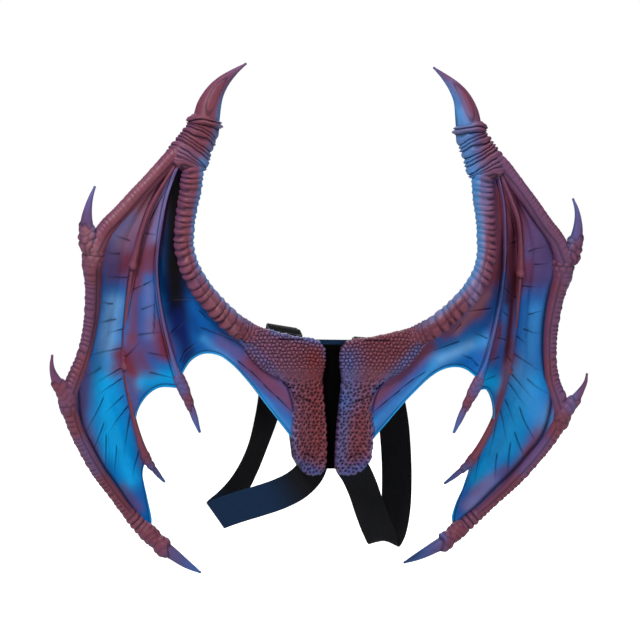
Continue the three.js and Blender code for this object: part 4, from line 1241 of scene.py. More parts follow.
@dataclass
class ShoulderPlate:
    """The shoulder's plate: a crowned slab with small moulded scales above and pits below."""

    slot: ClassVar[str] = "scaled_foam"
    node: str = "shoulder_plate"
    thickness: float = 9 * MM
    crown: float = 5 * MM
    edge_radius: float = 5 * MM
    scale_pitch: float = 5.0 * MM
    scale_rise: float = 2.7 * MM
    honeycomb: float = 0.866
    jitter: float = 0.27
    gap: float = 1.7 * MM
    pit_size: float = 1.60 * MM
    slit_depth: float = 2.0 * MM
    pits_from_to: tuple[float, float] = (0.095, 0.045)
    least: float = 1.0 * MM
    rows: int = 259
    columns: int = 124

    def lattice(self, flat: Array) -> tuple[Array, Array]:
        """Distances to the nearest and second nearest point of a jittered honeycomb lattice.

        Args:
            flat: Grid of places, X and Z.

        Returns:
            The two distances.
        """
        pitch, lift = self.scale_pitch, self.scale_pitch * self.honeycomb
        row = np.rint(flat[..., 1] / lift)
        found = []
        for step in (-1, 0, 1):
            r = row + step
            shift = 0.5 * (np.abs(r) % 2)
            column = np.rint(flat[..., 0] / pitch - shift)
            for over in (-1, 0, 1):
                c = column + over
                x = (c + shift + self.jitter * wobble(c + 31 * r, 3.0)) * pitch
                z = (r + self.jitter * wobble(c + 31 * r, 4.0)) * lift
                found.append(np.hypot(flat[..., 0] - x, flat[..., 1] - z))
        near = np.sort(np.stack(found), axis=0)
        return near[0], near[1]

    def skin(self, side: Side) -> Skin:
        """A Coons patch between the rim's four edges, crowned and rounded at the rim, with the scales on it.

        Args:
            side: Which wing.

        Returns:
            The closed surface.
        """
        u, v = np.linspace(0, 1, self.columns), np.linspace(0, 1, self.rows)
        outer = through(SHAPE.place(PLATE_OUTER, side), v)
        inner = through(SHAPE.place(PLATE_INNER, side), v)
        top = through(SHAPE.place(PLATE_TOP[::-1], side), u)
        bottom = through(SHAPE.place(PLATE_BOTTOM[::-1], side), u)
        patch = coons(outer, inner, top, bottom)
        left, upper = lengths_over(patch, 1), lengths_over(patch, 0)
        rim = np.minimum(np.minimum(left, left[:, -1:] - left), np.minimum(upper, upper[-1:] - upper))
        middle = np.minimum(np.minimum(u, 1 - u)[None, :], np.minimum(v, 1 - v)[:, None])
        crown = self.crown * (1 - (1 - np.clip(middle * 3, 0, 1)) ** 2)
        inside = np.clip(1 - rim / self.edge_radius, 0, 1)
        rounding = self.edge_radius * (1 - np.sqrt(1 - inside**2))
        flat = patch[..., [0, 2]] * np.array([side.value, 1])
        first, second = self.lattice(flat)
        share_z = patch[..., 2] / SHAPE.height
        pitted = ease(*self.pits_from_to, share_z)
        gap = ease(0.0, self.gap, second - first)
        dome = np.clip(1 - (first / (0.60 * self.scale_pitch)) ** 2, 0, 1)
        uneven = 1 + 0.25 * np.sin(700 * flat[..., 0]) * np.sin(600 * flat[..., 1])
        pit = bell(first, self.pit_size * uneven)
        scales = self.scale_rise * (gap * (0.25 + 0.75 * dome) * (1 - pitted) + pitted * (0.75 - pit))
        # The gaps between the scales and the pits below are darkened as painted shade.
        crease = (1 - gap) * 0.9 * (1 - pitted) + pitted * (pit + 0.10 * (1 - gap))
        front = patch.copy()
        front[..., 1] += rounding - crown
        front += grid_normals(front) * (scales - 0.5 * self.scale_rise)[..., None]
        for slit in SLITS.reshape(-1, 2, 2) * [SHAPE.reach, SHAPE.height]:
            away, _ = to_segment(flat, *slit)
            # Each slit is a groove with painted shade.
            line = bell(away, 1.0 * MM)
            front[..., 1] += self.slit_depth * line
            crease = np.maximum(crease, 0.95 * line)
        rear = SHAPE.front + self.thickness
        front[..., 1] = np.minimum(front[..., 1], rear - self.least)
        back = patch[::BACK_STEP, ::BACK_STEP].copy()
        back[..., 1] = rear
        colour = brushed(front, Paint.MAROON.over(front.shape), PLATE_STROKES[side], side)
        return Skin.slab(front, back, colour, Paint.BACK.over(back.shape), crease, flat)


# Wrinkles of the membranes, the same on both wings. Columns u0, v0, u1 and v1 are shares across and down
# the panel.
OUTER_WRINKLES = np.array([
    [0.81, 0.29, 0.38, 0.26],
    [0.66, 0.32, 0.32, 0.3],
    [0.95, 0.42, 0.48, 0.39],
    [0.66, 0.48, 0.2, 0.43],
    [0.8, 0.54, 0.22, 0.48],
    [0.95, 0.58, 0.72, 0.57],
    [0.95, 0.63, 0.28, 0.57],
    [0.6, 0.64, 0.18, 0.62],
    [0.95, 0.68, 0.48, 0.65],
    [0.92, 0.71, 0.55, 0.68],
    [0.9, 0.76, 0.6, 0.74],
    [0.94, 0.8, 0.52, 0.77],
    [0.94, 0.83, 0.6, 0.85],
    [0.92, 0.94, 0.5, 0.9],
    [0.45, 0.8, 0.22, 0.8],
    [0.36, 0.75, 0.04, 0.78],
    [0.4, 0.73, 0.06, 0.73],
    [0.54, 0.7, 0.08, 0.69],
    [0.1, 0.68, 0.03, 0.64],
    [0.07, 0.72, 0.09, 0.69],
    [0.07, 0.76, 0.08, 0.73],
    [0.05, 0.81, 0.06, 0.77],
])
MIDDLE_WRINKLES = np.array([
    [0.38, 0.34, 0.96, 0.38],
    [0.3, 0.57, 0.76, 0.59],
    [0.76, 0.59, 0.98, 0.56],
    [0.72, 0.68, 0.98, 0.66],
    [0.62, 0.76, 0.97, 0.76],
    [0.04, 0.77, 0.55, 0.79],
    [0.74, 0.84, 0.98, 0.85],
    [0.7, 0.92, 0.98, 0.95],
    [0.52, 0.32, 0.96, 0.18],
    [0.88, 0.74, 0.93, 0.38],
])
INNER_WRINKLES = np.array([
    [0.1, 0.7, 0.36, 0.71],
    [0.05, 0.81, 0.17, 0.81],
    [0.33, 0.78, 0.37, 0.81],
    [0.3, 0.86, 0.52, 0.86],
    [0.05, 0.94, 0.11, 0.93],
    [0.11, 0.93, 0.2, 0.93],
    [0.56, 0.95, 0.66, 0.937],
    [0.65, 0.937, 0.77, 0.928],
    [0.76, 0.93, 0.87, 0.918],
    [0.86, 0.92, 0.96, 0.912],
])

# Slits of the shoulder plates. Columns x0, z0, x1 and z1 are shares of the wing's reach and height.
SLITS = np.array([
    [0.2, 0.137, 0.112, 0.136],
    [0.128, 0.028, 0.08, 0.016],
    [0.1, -0.082, 0.062, -0.092],
])

COMMON_SKIN = sprays(
    (0.64, 0.45, 0.84, 0.31, 30, Paint.PLUM, 0.95),
    (0.62, 0.42, 0.76, 0.31, 18, Paint.MAROON, 0.4),
    (0.68, 0.38, 0.7, 0.24, 11, Paint.MAROON, 0.7),
    (0.64, 0.42, 0.69, 0.24, 8, Paint.MAROON, 0.85),
    (0.7, 0.28, 0.695, 0.13, 7, Paint.MAROON, 0.75),
    (0.7, 0.13, 0.68, 0.04, 9, Paint.MAROON, 0.8),
    (0.655, 0.25, 0.645, 0.14, 8, Paint.SLATE, 0.85),
    (0.6, 0.43, 0.645, 0.3, 9, Paint.MAROON, 0.75),
    (0.8, 0.22, 0.8, 0.1, 16, Paint.SLATE, 0.75),
    (0.79, 0.05, 0.74, -0.08, 20, Paint.CYAN, 1),
    (0.73, -0.06, 0.66, -0.15, 14, Paint.CYAN, 0.9),
    (0.735, 0.285, 0.745, 0.265, 12, Paint.RUST, 0.85),
    (0.728, 0.095, 0.745, 0.075, 11, Paint.RUST, 0.75),
    (0.895, 0.02, 0.825, -0.09, 8, Paint.MAROON, 0.8),
    (0.825, -0.09, 0.725, -0.19, 7, Paint.MAROON, 0.75),
    (0.865, 0.28, 0.875, 0.07, 7, Paint.PLUM, 0.7),
    (0.69, -0.17, 0.63, -0.21, 8, Paint.MAROON, 0.5),
    (0.625, 0.16, 0.605, 0.11, 11, Paint.RUST, 0.75),
    (0.66, 0.05, 0.58, 0.06, 12, Paint.CYAN, 0.8),
)
SKIN_STROKES = {
    Side.LEFT: COMMON_SKIN + sprays(
        (0.68, 0.4, 0.76, 0.32, 14, Paint.ROSE, 0.9),
        (0.74, 0.36, 0.8, 0.31, 12, Paint.LILAC, 0.8),
        (0.768, 0.2, 0.785, 0.09, 13, Paint.SKY, 0.9),
        (0.768, 0.2, 0.78, 0.12, 11, Paint.MIST, 0.45),
        (0.81, 0.3, 0.785, 0.255, 12, Paint.PLUM, 0.85),
        (0.74, 0.1, 0.62, 0.12, 9, Paint.PLUM, 0.75),
        (0.725, 0.1, 0.69, 0.065, 9, Paint.RUST, 0.85),
        (0.6, 0.135, 0.585, 0.105, 8, Paint.RUST, 0.85),
        (0.655, 0.23, 0.645, 0.14, 7, Paint.LILAC, 0.45),
        (0.5, 0.17, 0.45, 0.13, 9, Paint.BLUE, 0.9),
        # The next two strokes, navy and near-black, are painted shade beside the lower inner rib, under the
        # pocket.
        (0.5, 0.17, 0.46, 0.13, 7, Paint.NAVY, 0.35),
        (0.54, 0.15, 0.5, 0.11, 7, Paint.DEEP_SHADE, 0.55),
        (0.46, 0.135, 0.36, 0.09, 6, Paint.SKY, 0.6),
        (0.4, 0.13, 0.14, 0.03, 11, Paint.PLUM, 0.75),
        (0.3, 0.09, 0.15, 0.01, 11, Paint.MAROON, 0.8),
        (0.4, 0.095, 0.15, -0.035, 6, Paint.SKY, 0.85),
        (0.2, 0.01, 0.13, -0.05, 8, Paint.SLATE, 0.6),
        (0.84, 0.02, 0.82, -0.05, 9, Paint.SKY, 0.5),
        (0.855, 0.07, 0.86, 0, 10, Paint.PLUM, 0.9),
        (0.88, 0, 0.8, -0.11, 9, Paint.PLUM, 0.8),
        (0.67, 0.09, 0.635, 0.07, 8, Paint.PLUM, 0.6),
        (0.665, 0.1, 0.655, 0.08, 6, Paint.MAROON, 0.45),
        (0.695, 0.05, 0.66, -0.04, 6, Paint.PLUM, 0.75),
        (0.66, -0.04, 0.625, -0.12, 4, Paint.PLUM, 0.6),
    ),
    Side.RIGHT: COMMON_SKIN + sprays(
        (0.77, 0.38, 0.79, 0.27, 18, Paint.PLUM, 0.8),
        (0.8, 0.32, 0.8, 0.26, 10, Paint.NAVY, 0.25),
        (0.8, 0.2, 0.8, 0.1, 13, Paint.BLUE, 0.6),
        (0.79, 0.2, 0.79, 0.08, 11, Paint.SKY, 0.65),
        (0.69, 0.27, 0.69, 0.1, 6, Paint.WINE, 0.9),
        (0.66, 0.44, 0.665, 0.22, 9, Paint.WINE, 0.85),
        (0.6, 0.44, 0.6, 0.27, 14, Paint.MAROON, 0.95),
        (0.6, 0.28, 0.54, 0.2, 12, Paint.MAROON, 0.9),
        (0.55, 0.2, 0.42, 0.15, 8, Paint.MAROON, 0.85),
        (0.56, 0.14, 0.38, 0.1, 10, Paint.SKY, 0.85),
        (0.52, 0.13, 0.4, 0.1, 6, Paint.MIST, 0.3),
        (0.36, 0.13, 0.3, 0.11, 8, Paint.MAROON, 0.8),
        (0.71, 0.1, 0.66, -0.05, 7, Paint.MAROON, 0.9),
        (0.66, -0.05, 0.61, -0.13, 6, Paint.MAROON, 0.85),
        (0.75, -0.13, 0.66, -0.18, 7, Paint.MAROON, 0.5),
        (0.71, -0.16, 0.64, -0.21, 10, Paint.LILAC, 0.75),
        (0.58, 0.23, 0.46, 0.155, 6, Paint.ROSE, 0.6),
        (0.53, 0.26, 0.5, 0.21, 6, Paint.LILAC, 0.5),
        (0.34, 0.12, 0.15, 0.02, 12, Paint.MAROON, 0.85),
        (0.38, 0.09, 0.15, -0.03, 6, Paint.SKY, 0.75),
        (0.3, 0.06, 0.13, -0.05, 5, Paint.SLATE, 0.6),
        (0.76, 0.07, 0.86, -0.02, 16, Paint.SKY, 0.7),
        (0.79, 0.08, 0.72, -0.1, 16, Paint.SLATE, 0.3),
    ),
}
PANEL_STROKES = {
    (Side.LEFT, "middle_membrane"): sprays(
        (0.585, 0.45, 0.64, 0.315, 9, Paint.LILAC, 0.95),
        (0.645, 0.305, 0.65, 0.27, 9, Paint.MAROON, 0.85),
    ),
    # Painted shade of the deep pocket between the inner rib and the arm, in near-black and navy.
    (Side.LEFT, "inner_membrane"): sprays(
        (0.585, 0.46, 0.565, 0.24, 19, Paint.DEEP_SHADE, 1),
        (0.565, 0.24, 0.545, 0.15, 12, Paint.NAVY, 1),
        (0.575, 0.42, 0.56, 0.19, 12, Paint.DEEP_SHADE, 1),
        (0.555, 0.18, 0.515, 0.09, 10, Paint.NAVY, 0.9),
    ),
}

COMMON_ROD = sprays(
    (0.88, 0.33, 0.86, 0.42, 12, Paint.PLUM, 0.35),
    (0.56, 0.485, 0.48, 0.465, 8, Paint.LILAC, 0.25),
    (0.5, 0.47, 0.47, 0.465, 4, Paint.SKY, 0.55),
    (0.845, 0.22, 0.85, 0.12, 9, Paint.PLUM, 0.4),
    (0.9, 0.04, 0.93, 0, 9, Paint.PLUM, 0.35),
    (0.86, -0.07, 0.8, -0.13, 8, Paint.SLATE, 0.35),
    (0.6, 0.1, 0.54, 0.04, 10, Paint.SLATE, 0.6),
    (0.6, -0.13, 0.53, -0.16, 10, Paint.SLATE, 0.6),
    (0.5, -0.3, 0.4, -0.33, 12, Paint.SLATE, 0.5),
)
ROD_STROKES = {
    Side.LEFT: COMMON_ROD + sprays(
        (0.5, 0.57, 0.38, 0.65, 16, Paint.MAROON, 0.75),
        # A wine stroke darkens the inner side of the left middle spar, as painted shade.
        (0.835, 0.26, 0.835, 0.1, 5, Paint.WINE, 0.5),
        # The rose strokes in this list are painted highlights: on the elbow knuckle, along the upper spar
        # and on the lower arm.
        (0.88, 0.33, 0.86, 0.29, 9, Paint.ROSE, 0.9),
        (0.8, 0.36, 0.66, 0.46, 5, Paint.ROSE, 0.35),
        (0.52, 0.4, 0.5, 0.24, 5, Paint.PLUM, 0.45),
        (0.6, 0.43, 0.66, 0.3, 3, Paint.LILAC, 0.6),
        (0.47, 0.22, 0.36, 0.15, 5, Paint.ROSE, 0.35),
    ),
    Side.RIGHT: COMMON_ROD + sprays(
        (0.465, 0.56, 0.395, 0.635, 6.5, Paint.LILAC, 0.85),
        (0.43, 0.6, 0.34, 0.66, 5, Paint.SLATE, 0.6),
        (0.42, 0.595, 0.385, 0.63, 7, Paint.PLUM, 0.45),
        (0.875, 0.35, 0.855, 0.43, 7, Paint.SLATE, 0.5),
        (0.94, 0, 0.95, 0.06, 6, Paint.SLATE, 0.5),
        (0.63, 0.27, 0.56, 0.08, 4, Paint.BLUE, 0.8),
        (0.6, 0.49, 0.9, 0.25, 16, Paint.PLUM, 0.55),
        (0.9, 0.25, 0.9, 0.02, 14, Paint.PLUM, 0.45),
        (0.53, 0.44, 0.49, 0.22, 9, Paint.LILAC, 0.6),
        (0.47, 0.54, 0.49, 0.44, 13, Paint.SLATE, 0.75),
        (0.455, 0.56, 0.43, 0.585, 4, Paint.SKY, 0.5),
        (0.455, 0.54, 0.475, 0.44, 8, Paint.SKY, 0.45),
        (0.86, -0.06, 0.62, -0.24, 8, Paint.PLUM, 0.4),
        (0.52, -0.27, 0.38, -0.34, 7, Paint.BLUE, 0.5),
    ),
}
PLATE_STROKES = {
    Side.LEFT: sprays(
        (0.3, 0.16, 0.22, 0.07, 30, Paint.PLUM, 0.3),
        (0.07, 0.1, 0.05, -0.07, 14, Paint.RUST, 0.8),
        (0.02, 0.14, 0.02, 0.11, 6, Paint.SLATE, 0.55),
        (0.22, 0.153, 0.05, 0.135, 6, Paint.SLATE, 0.65),
        (0.32, 0.13, 0.16, 0.04, 7, Paint.SLATE, 0.3),
        (0.14, -0.1, 0.04, -0.125, 9, Paint.BLUE, 0.6),
        (0.16, 0.02, 0.15, -0.08, 6, Paint.SLATE, 0.6),
    ),
    Side.RIGHT: sprays(
        (0.16, 0.13, 0.24, 0.12, 18, Paint.RUST, 0.35),
        (0.05, 0.1, 0.05, 0.02, 16, Paint.SLATE, 0.6),
        (0.04, 0.02, 0.03, -0.1, 9, Paint.SLATE, 0.55),
        (0.1, 0, 0.1, -0.08, 10, Paint.RUST, 0.45),
        (0.32, 0.13, 0.16, 0.04, 7, Paint.SLATE, 0.6),
        (0.14, -0.1, 0.04, -0.125, 9, Paint.BLUE, 0.6),
        (0.16, 0.04, 0.15, -0.08, 6, Paint.SLATE, 0.6),
    ),
}


@dataclass
class Wing:
    """One foam wing. Its sizes are full widths in metres, and each piece stands for a solid of the part."""

    side: Side
    spar_width: float = 18 * MM
    arm_width: float = 24 * MM
    collar_width: float = 50 * MM
    claw_width: float = 32 * MM
    rib_width: float = 9 * MM
    rib_claw_width: float = 12 * MM

    def rods(self) -> list[FoamRod]:
        """The rods and claws."""
        spar, claw, rib, rib_claw = self.spar_width, self.claw_width, self.rib_width, self.rib_claw_width
        return [
            WristCollar("wrist_collar", WRIST_COLLAR, self.collar_width, 130, 0.6 * MM, dome_depth=0.3,
                        blue=0.6),
            RingedArm("arm", ARM, self.arm_width, 60, 0.8 * MM, blue=0.85),
            Spar("upper_spar", UPPER_SPAR, spar, 48, 1.0 * MM, ring=5.2 * MM, rise=0.5 * MM, valley=0.25),
            Spar("middle_spar", MIDDLE_SPAR, spar, 56, 0.9 * MM,
                 lumps=((0.05, 3.2 * MM, 8), (0.97, 1.6 * MM, 7))),
            BeadedSpar("lower_spar", LOWER_SPAR, spar, 48, 1.0 * MM),
            Claw("wrist_claw", WRIST_CLAW, claw, 64, 1.2 * MM, blue=0.7, groove=0.4 * MM, blue_tip=0.25,
                 brush=0.0),
            Claw("elbow_claw", ELBOW_CLAW, claw, 44, 1.1 * MM, blue=0.3, sheath=0.36, dry=0.65, blue_tip=0.4,
                 knuckle=3.0 * MM, brush=0.25),
            Claw("lower_claw", LOWER_CLAW, claw, 44, 1.1 * MM, blue=0.1, sheath=0.42, dry=0.35, brush=0.25),
            Claw("tip_claw", TIP_CLAW, claw, 44, 1.1 * MM, blue=0.2, blue_tip=0.9, sheath=0.38,
                 sheath_rise=2.2 * MM, slim=1.0 * MM, full=1.2 * MM, dry=0.35, brush=0.0),
            Rib("outer_rib", OUTER_RIB, rib, 28, 1.4 * MM, knuckles=(0.336, 0.667), sharpness=0.3),
            Rib("inner_rib", INNER_RIB, rib, 28, 1.4 * MM, base=Paint.PLUM),
            Claw("outer_rib_claw", OUTER_RIB_CLAW, rib_claw, 36, 0.8 * MM, blue_tip=0.7, sheath=0.45,
                 slim=0.3 * MM, full=1.3 * MM, brush=0.0),
            Claw("inner_rib_claw", INNER_RIB_CLAW, rib_claw, 36, 0.8 * MM, blue_tip=0.8, sheath=0.55,
                 slim=0.3 * MM, full=1.5 * MM, brush=0.0),
        ]

    def membranes(self) -> list[Membrane]:
        """The three panels of foam skin."""
        spar = Edge(self.spar_width / 2, 0.95, spread=3.4, shift=1.4 * MM)
        rib = Edge(self.rib_width * 0.28, 0.95, 1.4 * MM, 1.1)
        arm = Edge(self.arm_width * 0.30, 0.95, spread=3.0)
        border = np.vstack([
            UPPER_SPAR[1:-1, :3], MIDDLE_SPAR[1:-2, :3], LOWER_SPAR[1:, :3], OUTER_SCALLOP[:1],
        ])
        outer_rib, inner_rib = OUTER_RIB[:, :3], INNER_RIB[:, :3]
        return [
            Membrane("outer_membrane", spar, rib, border, outer_rib, OUTER_SCALLOP, 430, 91, 8 * MM,
                     OUTER_WRINKLES, folds=((0.45, 0.22, 2.5 * MM), (0.80, 0.10, 2.0 * MM))),
            Membrane("middle_membrane", rib, rib, outer_rib, inner_rib, MIDDLE_SCALLOP, 286, 43, 4 * MM,
                     MIDDLE_WRINKLES, folds=((0.20, 0.14, 3.0 * MM), (0.75, 0.12, 1.2 * MM)),
                     leaves=RIB_LEAVES / (len(OUTER_RIB) - 1)),
            Membrane("inner_membrane", rib, arm, inner_rib, INNER_ROOT, INNER_SCALLOP, 286, 109, 8 * MM,
                     INNER_WRINKLES, folds=((0.35, 0.2, 2.0 * MM),)),
        ]

    def build(self, finishes: dict[str, bpy.types.Material]) -> list[bpy.types.Object]:
        """Builds the wing's pieces and dresses them.

        Args:
            finishes: Materials by slot.

        Returns:
            The pieces.
        """
        skins = [(rod, rod.skin(self.side)) for rod in self.rods()]
        for panel in self.membranes():
            strokes = SKIN_STROKES[self.side] + PANEL_STROKES.get((self.side, panel.node), ())
            skins.append((panel, panel.skin(self.side, strokes)))
        plate = ShoulderPlate()
        skins.append((plate, plate.skin(self.side)))
        made = [settle(skin, f"{self.side.prefix}_{part.node}", part.slot, finishes) for part, skin in skins]
        return made


def settle(skin: Skin, node: str, slot: str, finishes: dict[str, bpy.types.Material]) -> bpy.types.Object:
    """Makes a skin into a dressed piece that stands for a solid of the part.

    Args:
        skin: The surface.
        node: The solid's name.
        slot: The record's material slot.
        finishes: Materials by slot.

    Returns:
        The piece.
    """
    piece = skin.to_object(f"{node}_dressed")
    piece.data.materials.append(finishes[slot])
    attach(piece, "root")
    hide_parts(node)
    log.info("%s: %d faces", piece.name, len(piece.data.polygons))
    return piece


@dataclass
class Webbing:
    """Ribbed elastic webbing: a flat rounded profile with fine lengthwise ribs, carried along a path."""

    width: float = 38 * MM
    thickness: float = 1.8 * MM
    ribs: int = 20
    rib_rise: float = 0.30 * MM
    per_rib: int = 4
    pitch: float = 3.0 * MM

    def profile(self) -> tuple[Array, Array]:
        """The section, once round: places across and out of the face.

        The faces stand at half the thickness plus a cosine for each rib, and the two edges are half circles.
        """
        count = self.ribs * self.per_rib
        flat = np.linspace(-1, 1, count + 1) * (self.width - self.thickness) / 2
        rise = self.rib_rise * (0.5 - 0.5 * np.cos(2 * np.pi * np.arange(count + 1) / self.per_rib))
        face = self.thickness / 2 - self.rib_rise + rise
        edge = np.linspace(np.pi / 2, -np.pi / 2, 6)[1:-1]
        cap = self.thickness / 2 * np.stack([np.cos(edge), np.sin(edge)], axis=1)
        shift = np.array([(self.width - self.thickness) / 2, 0])
        section = np.vstack([
            np.stack([flat, face], axis=1), cap + shift, np.stack([flat[::-1], -face], axis=1), -cap - shift,
        ])
        return section[:, 0], section[:, 1]

    def sweep(self, centre: Array, across: Array, face: Array, run: Array, spray: Array) -> Skin:
        """Carries the profile along a path.

        Args:
            centre: Points of the path.
            across: Unit directions of the width.
            face: Unit directions out of the face.
            run: Distances along the path.
            spray: How much overspray the webbing has, from 0 to 1, along the path.

        Returns:
            The closed surface.
        """
        x, y = self.profile()
        rings = centre[:, None] + across[:, None] * x[None, :, None] + face[:, None] * y[None, :, None]
        cover = np.broadcast_to(spray[:, None], rings.shape[:2])
        paint = mixed(Paint.BLACK.over(rings.shape), Paint.OVERSPRAY, cover)
        return Skin.tube(rings, centre[[0, -1]], paint, np.zeros(rings.shape[:2]), x[None, :], run[:, None])


@dataclass
class Slider:
    """A moulded frame with a middle bar, its section a rounded rectangle carried round the outline."""

    length: float = 26 * MM
    thickness: float = 2.4 * MM
    bar: float = 3 * MM
    rim: float = 2 * MM
    clearance: float = 0.3 * MM
    around: int = 24
    corners: int = 160
    bar_steps: int = 24

    def section(self, half_wide: Array, half_deep: float) -> Array:
        """A rounded rectangle: a circle whose cosine and sine are each raised to a power of 0.4."""
        shape = circle(self.around)
        rounded = np.sign(shape) * np.abs(shape) ** 0.4
        return rounded[None] * np.stack([half_wide, np.full_like(half_wide, half_deep)], axis=1)[:, None]

    def build(self, width: float, centre: Array, across: Array, along: Array, face: Array) -> Skin:
        """The frame as a closed ring, and its middle bar from one rim to the other.

        Args:
            width: The webbing's width.
            centre: Middle of the slider.
            across: Unit direction of the width.
            along: Unit direction along the webbing.
            face: Unit direction out of the face.

        Returns:
            The surface of both.
        """
        half_x = width / 2 + self.rim / 2 + 2 * self.clearance
        half_y = (self.length - self.bar) / 2
        shape = circle(self.corners)
        line = np.sign(shape) * np.abs(shape) ** 0.16 * np.array([half_x, half_y])
        tangent = unit(np.roll(line, -1, axis=0) - np.roll(line, 1, axis=0))
        away = np.stack([tangent[:, 1], -tangent[:, 0]], axis=1)
        half_wide = (self.rim + (self.bar - self.rim) * np.abs(away[:, 1])) / 2
        section = self.section(half_wide, self.thickness / 2)
        ring = line[:, None] + away[:, None] * section[..., :1]
        frame_points = ring[..., :1] * across + ring[..., 1:] * along + section[..., 1:] * face
        frame_points = frame_points.reshape(-1, 3)
        i, j = np.meshgrid(np.arange(self.corners), np.arange(self.around), indexing="ij")
        after, beside = (i + 1) % self.corners * self.around, (j + 1) % self.around
        here = i * self.around
        frame_faces = np.stack([here + j, here + beside, after + beside, after + j], axis=-1)
        where = np.linspace(-half_x, half_x, self.bar_steps)
        flare = 1 + 0.25 * ease(half_x - 3 * MM, half_x, np.abs(where))
        bar = self.section(self.bar / 2 * flare, self.thickness * 0.46)
        bar_rings = where[:, None, None] * across + bar[..., :1] * along + bar[..., 1:] * face
        bar_points = np.vstack([bar_rings.reshape(-1, 3), across * -half_x, across * half_x])
        first = len(frame_points)
        bar_faces = outward(bar_points, tube_faces(self.bar_steps, self.around))
        points = np.vstack([frame_points, bar_points]) + centre
        faces = outward(frame_points, frame_faces.reshape(-1, 4).tolist())
        faces += [[k + first for k in f] for f in bar_faces]
        count = len(points)
        return Skin(points, faces, Paint.BLACK.over((count, 3)), np.zeros(count), np.zeros((count, 2)))


@dataclass
class ShoulderLoop:
    """One elastic loop with its slider, along a table of stations."""

    side: Side
    stations: Array
    spray_from: float
    spray_to: float
    spray: float = 0.75
    spread: float = 130 * MM
    depth: float = 92 * MM
    height: float = 180 * MM
    slider_row: int = 5
    slider_reach: float = 20 * MM
    slider_steps: int = 60
    webbing: Webbing = field(default_factory=Webbing)
    slider: Slider = field(default_factory=Slider)
    rear: float = 3.3 * MM

    def path(self) -> tuple[Array, Array, Array, Array, Array, float]:
        """The webbing's middle line with its directions: a curve through the stations, held straight in the
        slider and woven over its bars by a cosine.

        Returns:
            Centres, tangents, directions across and out of the face, distances, and where the slider sits.
        """
        fine = np.linspace(0, 1, LOOP_CURVE_STEPS)
        rows = self.stations[:, :3] * np.array([self.spread, self.depth, self.height])
        line = through(rows + np.array([0, self.rear, 0]), fine)
        ways = through(unit(self.stations[:, 3:]), fine, centripetal=False)
        run = lengths_along(line)
        seat = float(np.interp(self.slider_row / (len(rows) - 1), fine, run))
        gap = self.webbing.pitch
        stops = np.unique(np.concatenate([
            np.linspace(0, run[-1], round(run[-1] / gap) + 1),
            np.linspace(seat - self.slider_reach, seat + self.slider_reach, self.slider_steps),
        ]))
        tangents = unit(np.gradient(line, axis=0))
        centre, tangent, across = (read(values, stops, run) for values in (line, tangents, ways))
        middle, way, width = (read(values, seat, run) for values in (line, tangents, ways))
        way = unit(way)
        width = unit(width - way * (way @ width))
        length = self.slider.length
        held = (1 - ease(length / 2, length, np.abs(stops - seat)))[:, None]
        centre = centre * (1 - held) + (middle + way * (stops - seat)[:, None]) * held
        tangent = unit(tangent * (1 - held) + way * held)
        across = across * (1 - held) + width * held
        across = unit(across - tangent * np.einsum("ij,ij->i", across, tangent)[:, None])
        return centre, tangent, across, np.cross(across, tangent), stops, seat

    def build(self, finishes: dict[str, bpy.types.Material]) -> list[bpy.types.Object]:
        """Builds the webbing and its slider.

        Args:
            finishes: Materials by slot.

        Returns:
            The two pieces.
        """
        centre, tangent, across, face, run, seat = self.path()
        bar_pitch = (self.slider.length - self.slider.bar) / 2
        rise = self.slider.thickness / 2 + self.webbing.thickness / 2 + 3 * self.slider.clearance
        away = run - seat
        hump = np.where(np.abs(away) < 1.5 * bar_pitch, rise * np.cos(np.pi * away / bar_pitch), 0.0)
        at = int(np.argmin(np.abs(away)))
        straps = self.webbing.sweep(
            centre + face * hump[:, None], across, face, run,
            self.spray * ease(self.spray_from - 0.04, self.spray_from + 0.06, run / run[-1])
            * ease(self.spray_to + 0.04, self.spray_to - 0.06, run / run[-1]),
        )
        prefix = self.side.prefix
        frame_skin = self.slider.build(self.webbing.width, centre[at], across[at], tangent[at], face[at])
        return [
            settle(straps, f"{prefix}_shoulder_loop", "elastic_webbing", finishes),
            settle(frame_skin, f"{prefix}_slider", "slider_plastic", finishes),
        ]


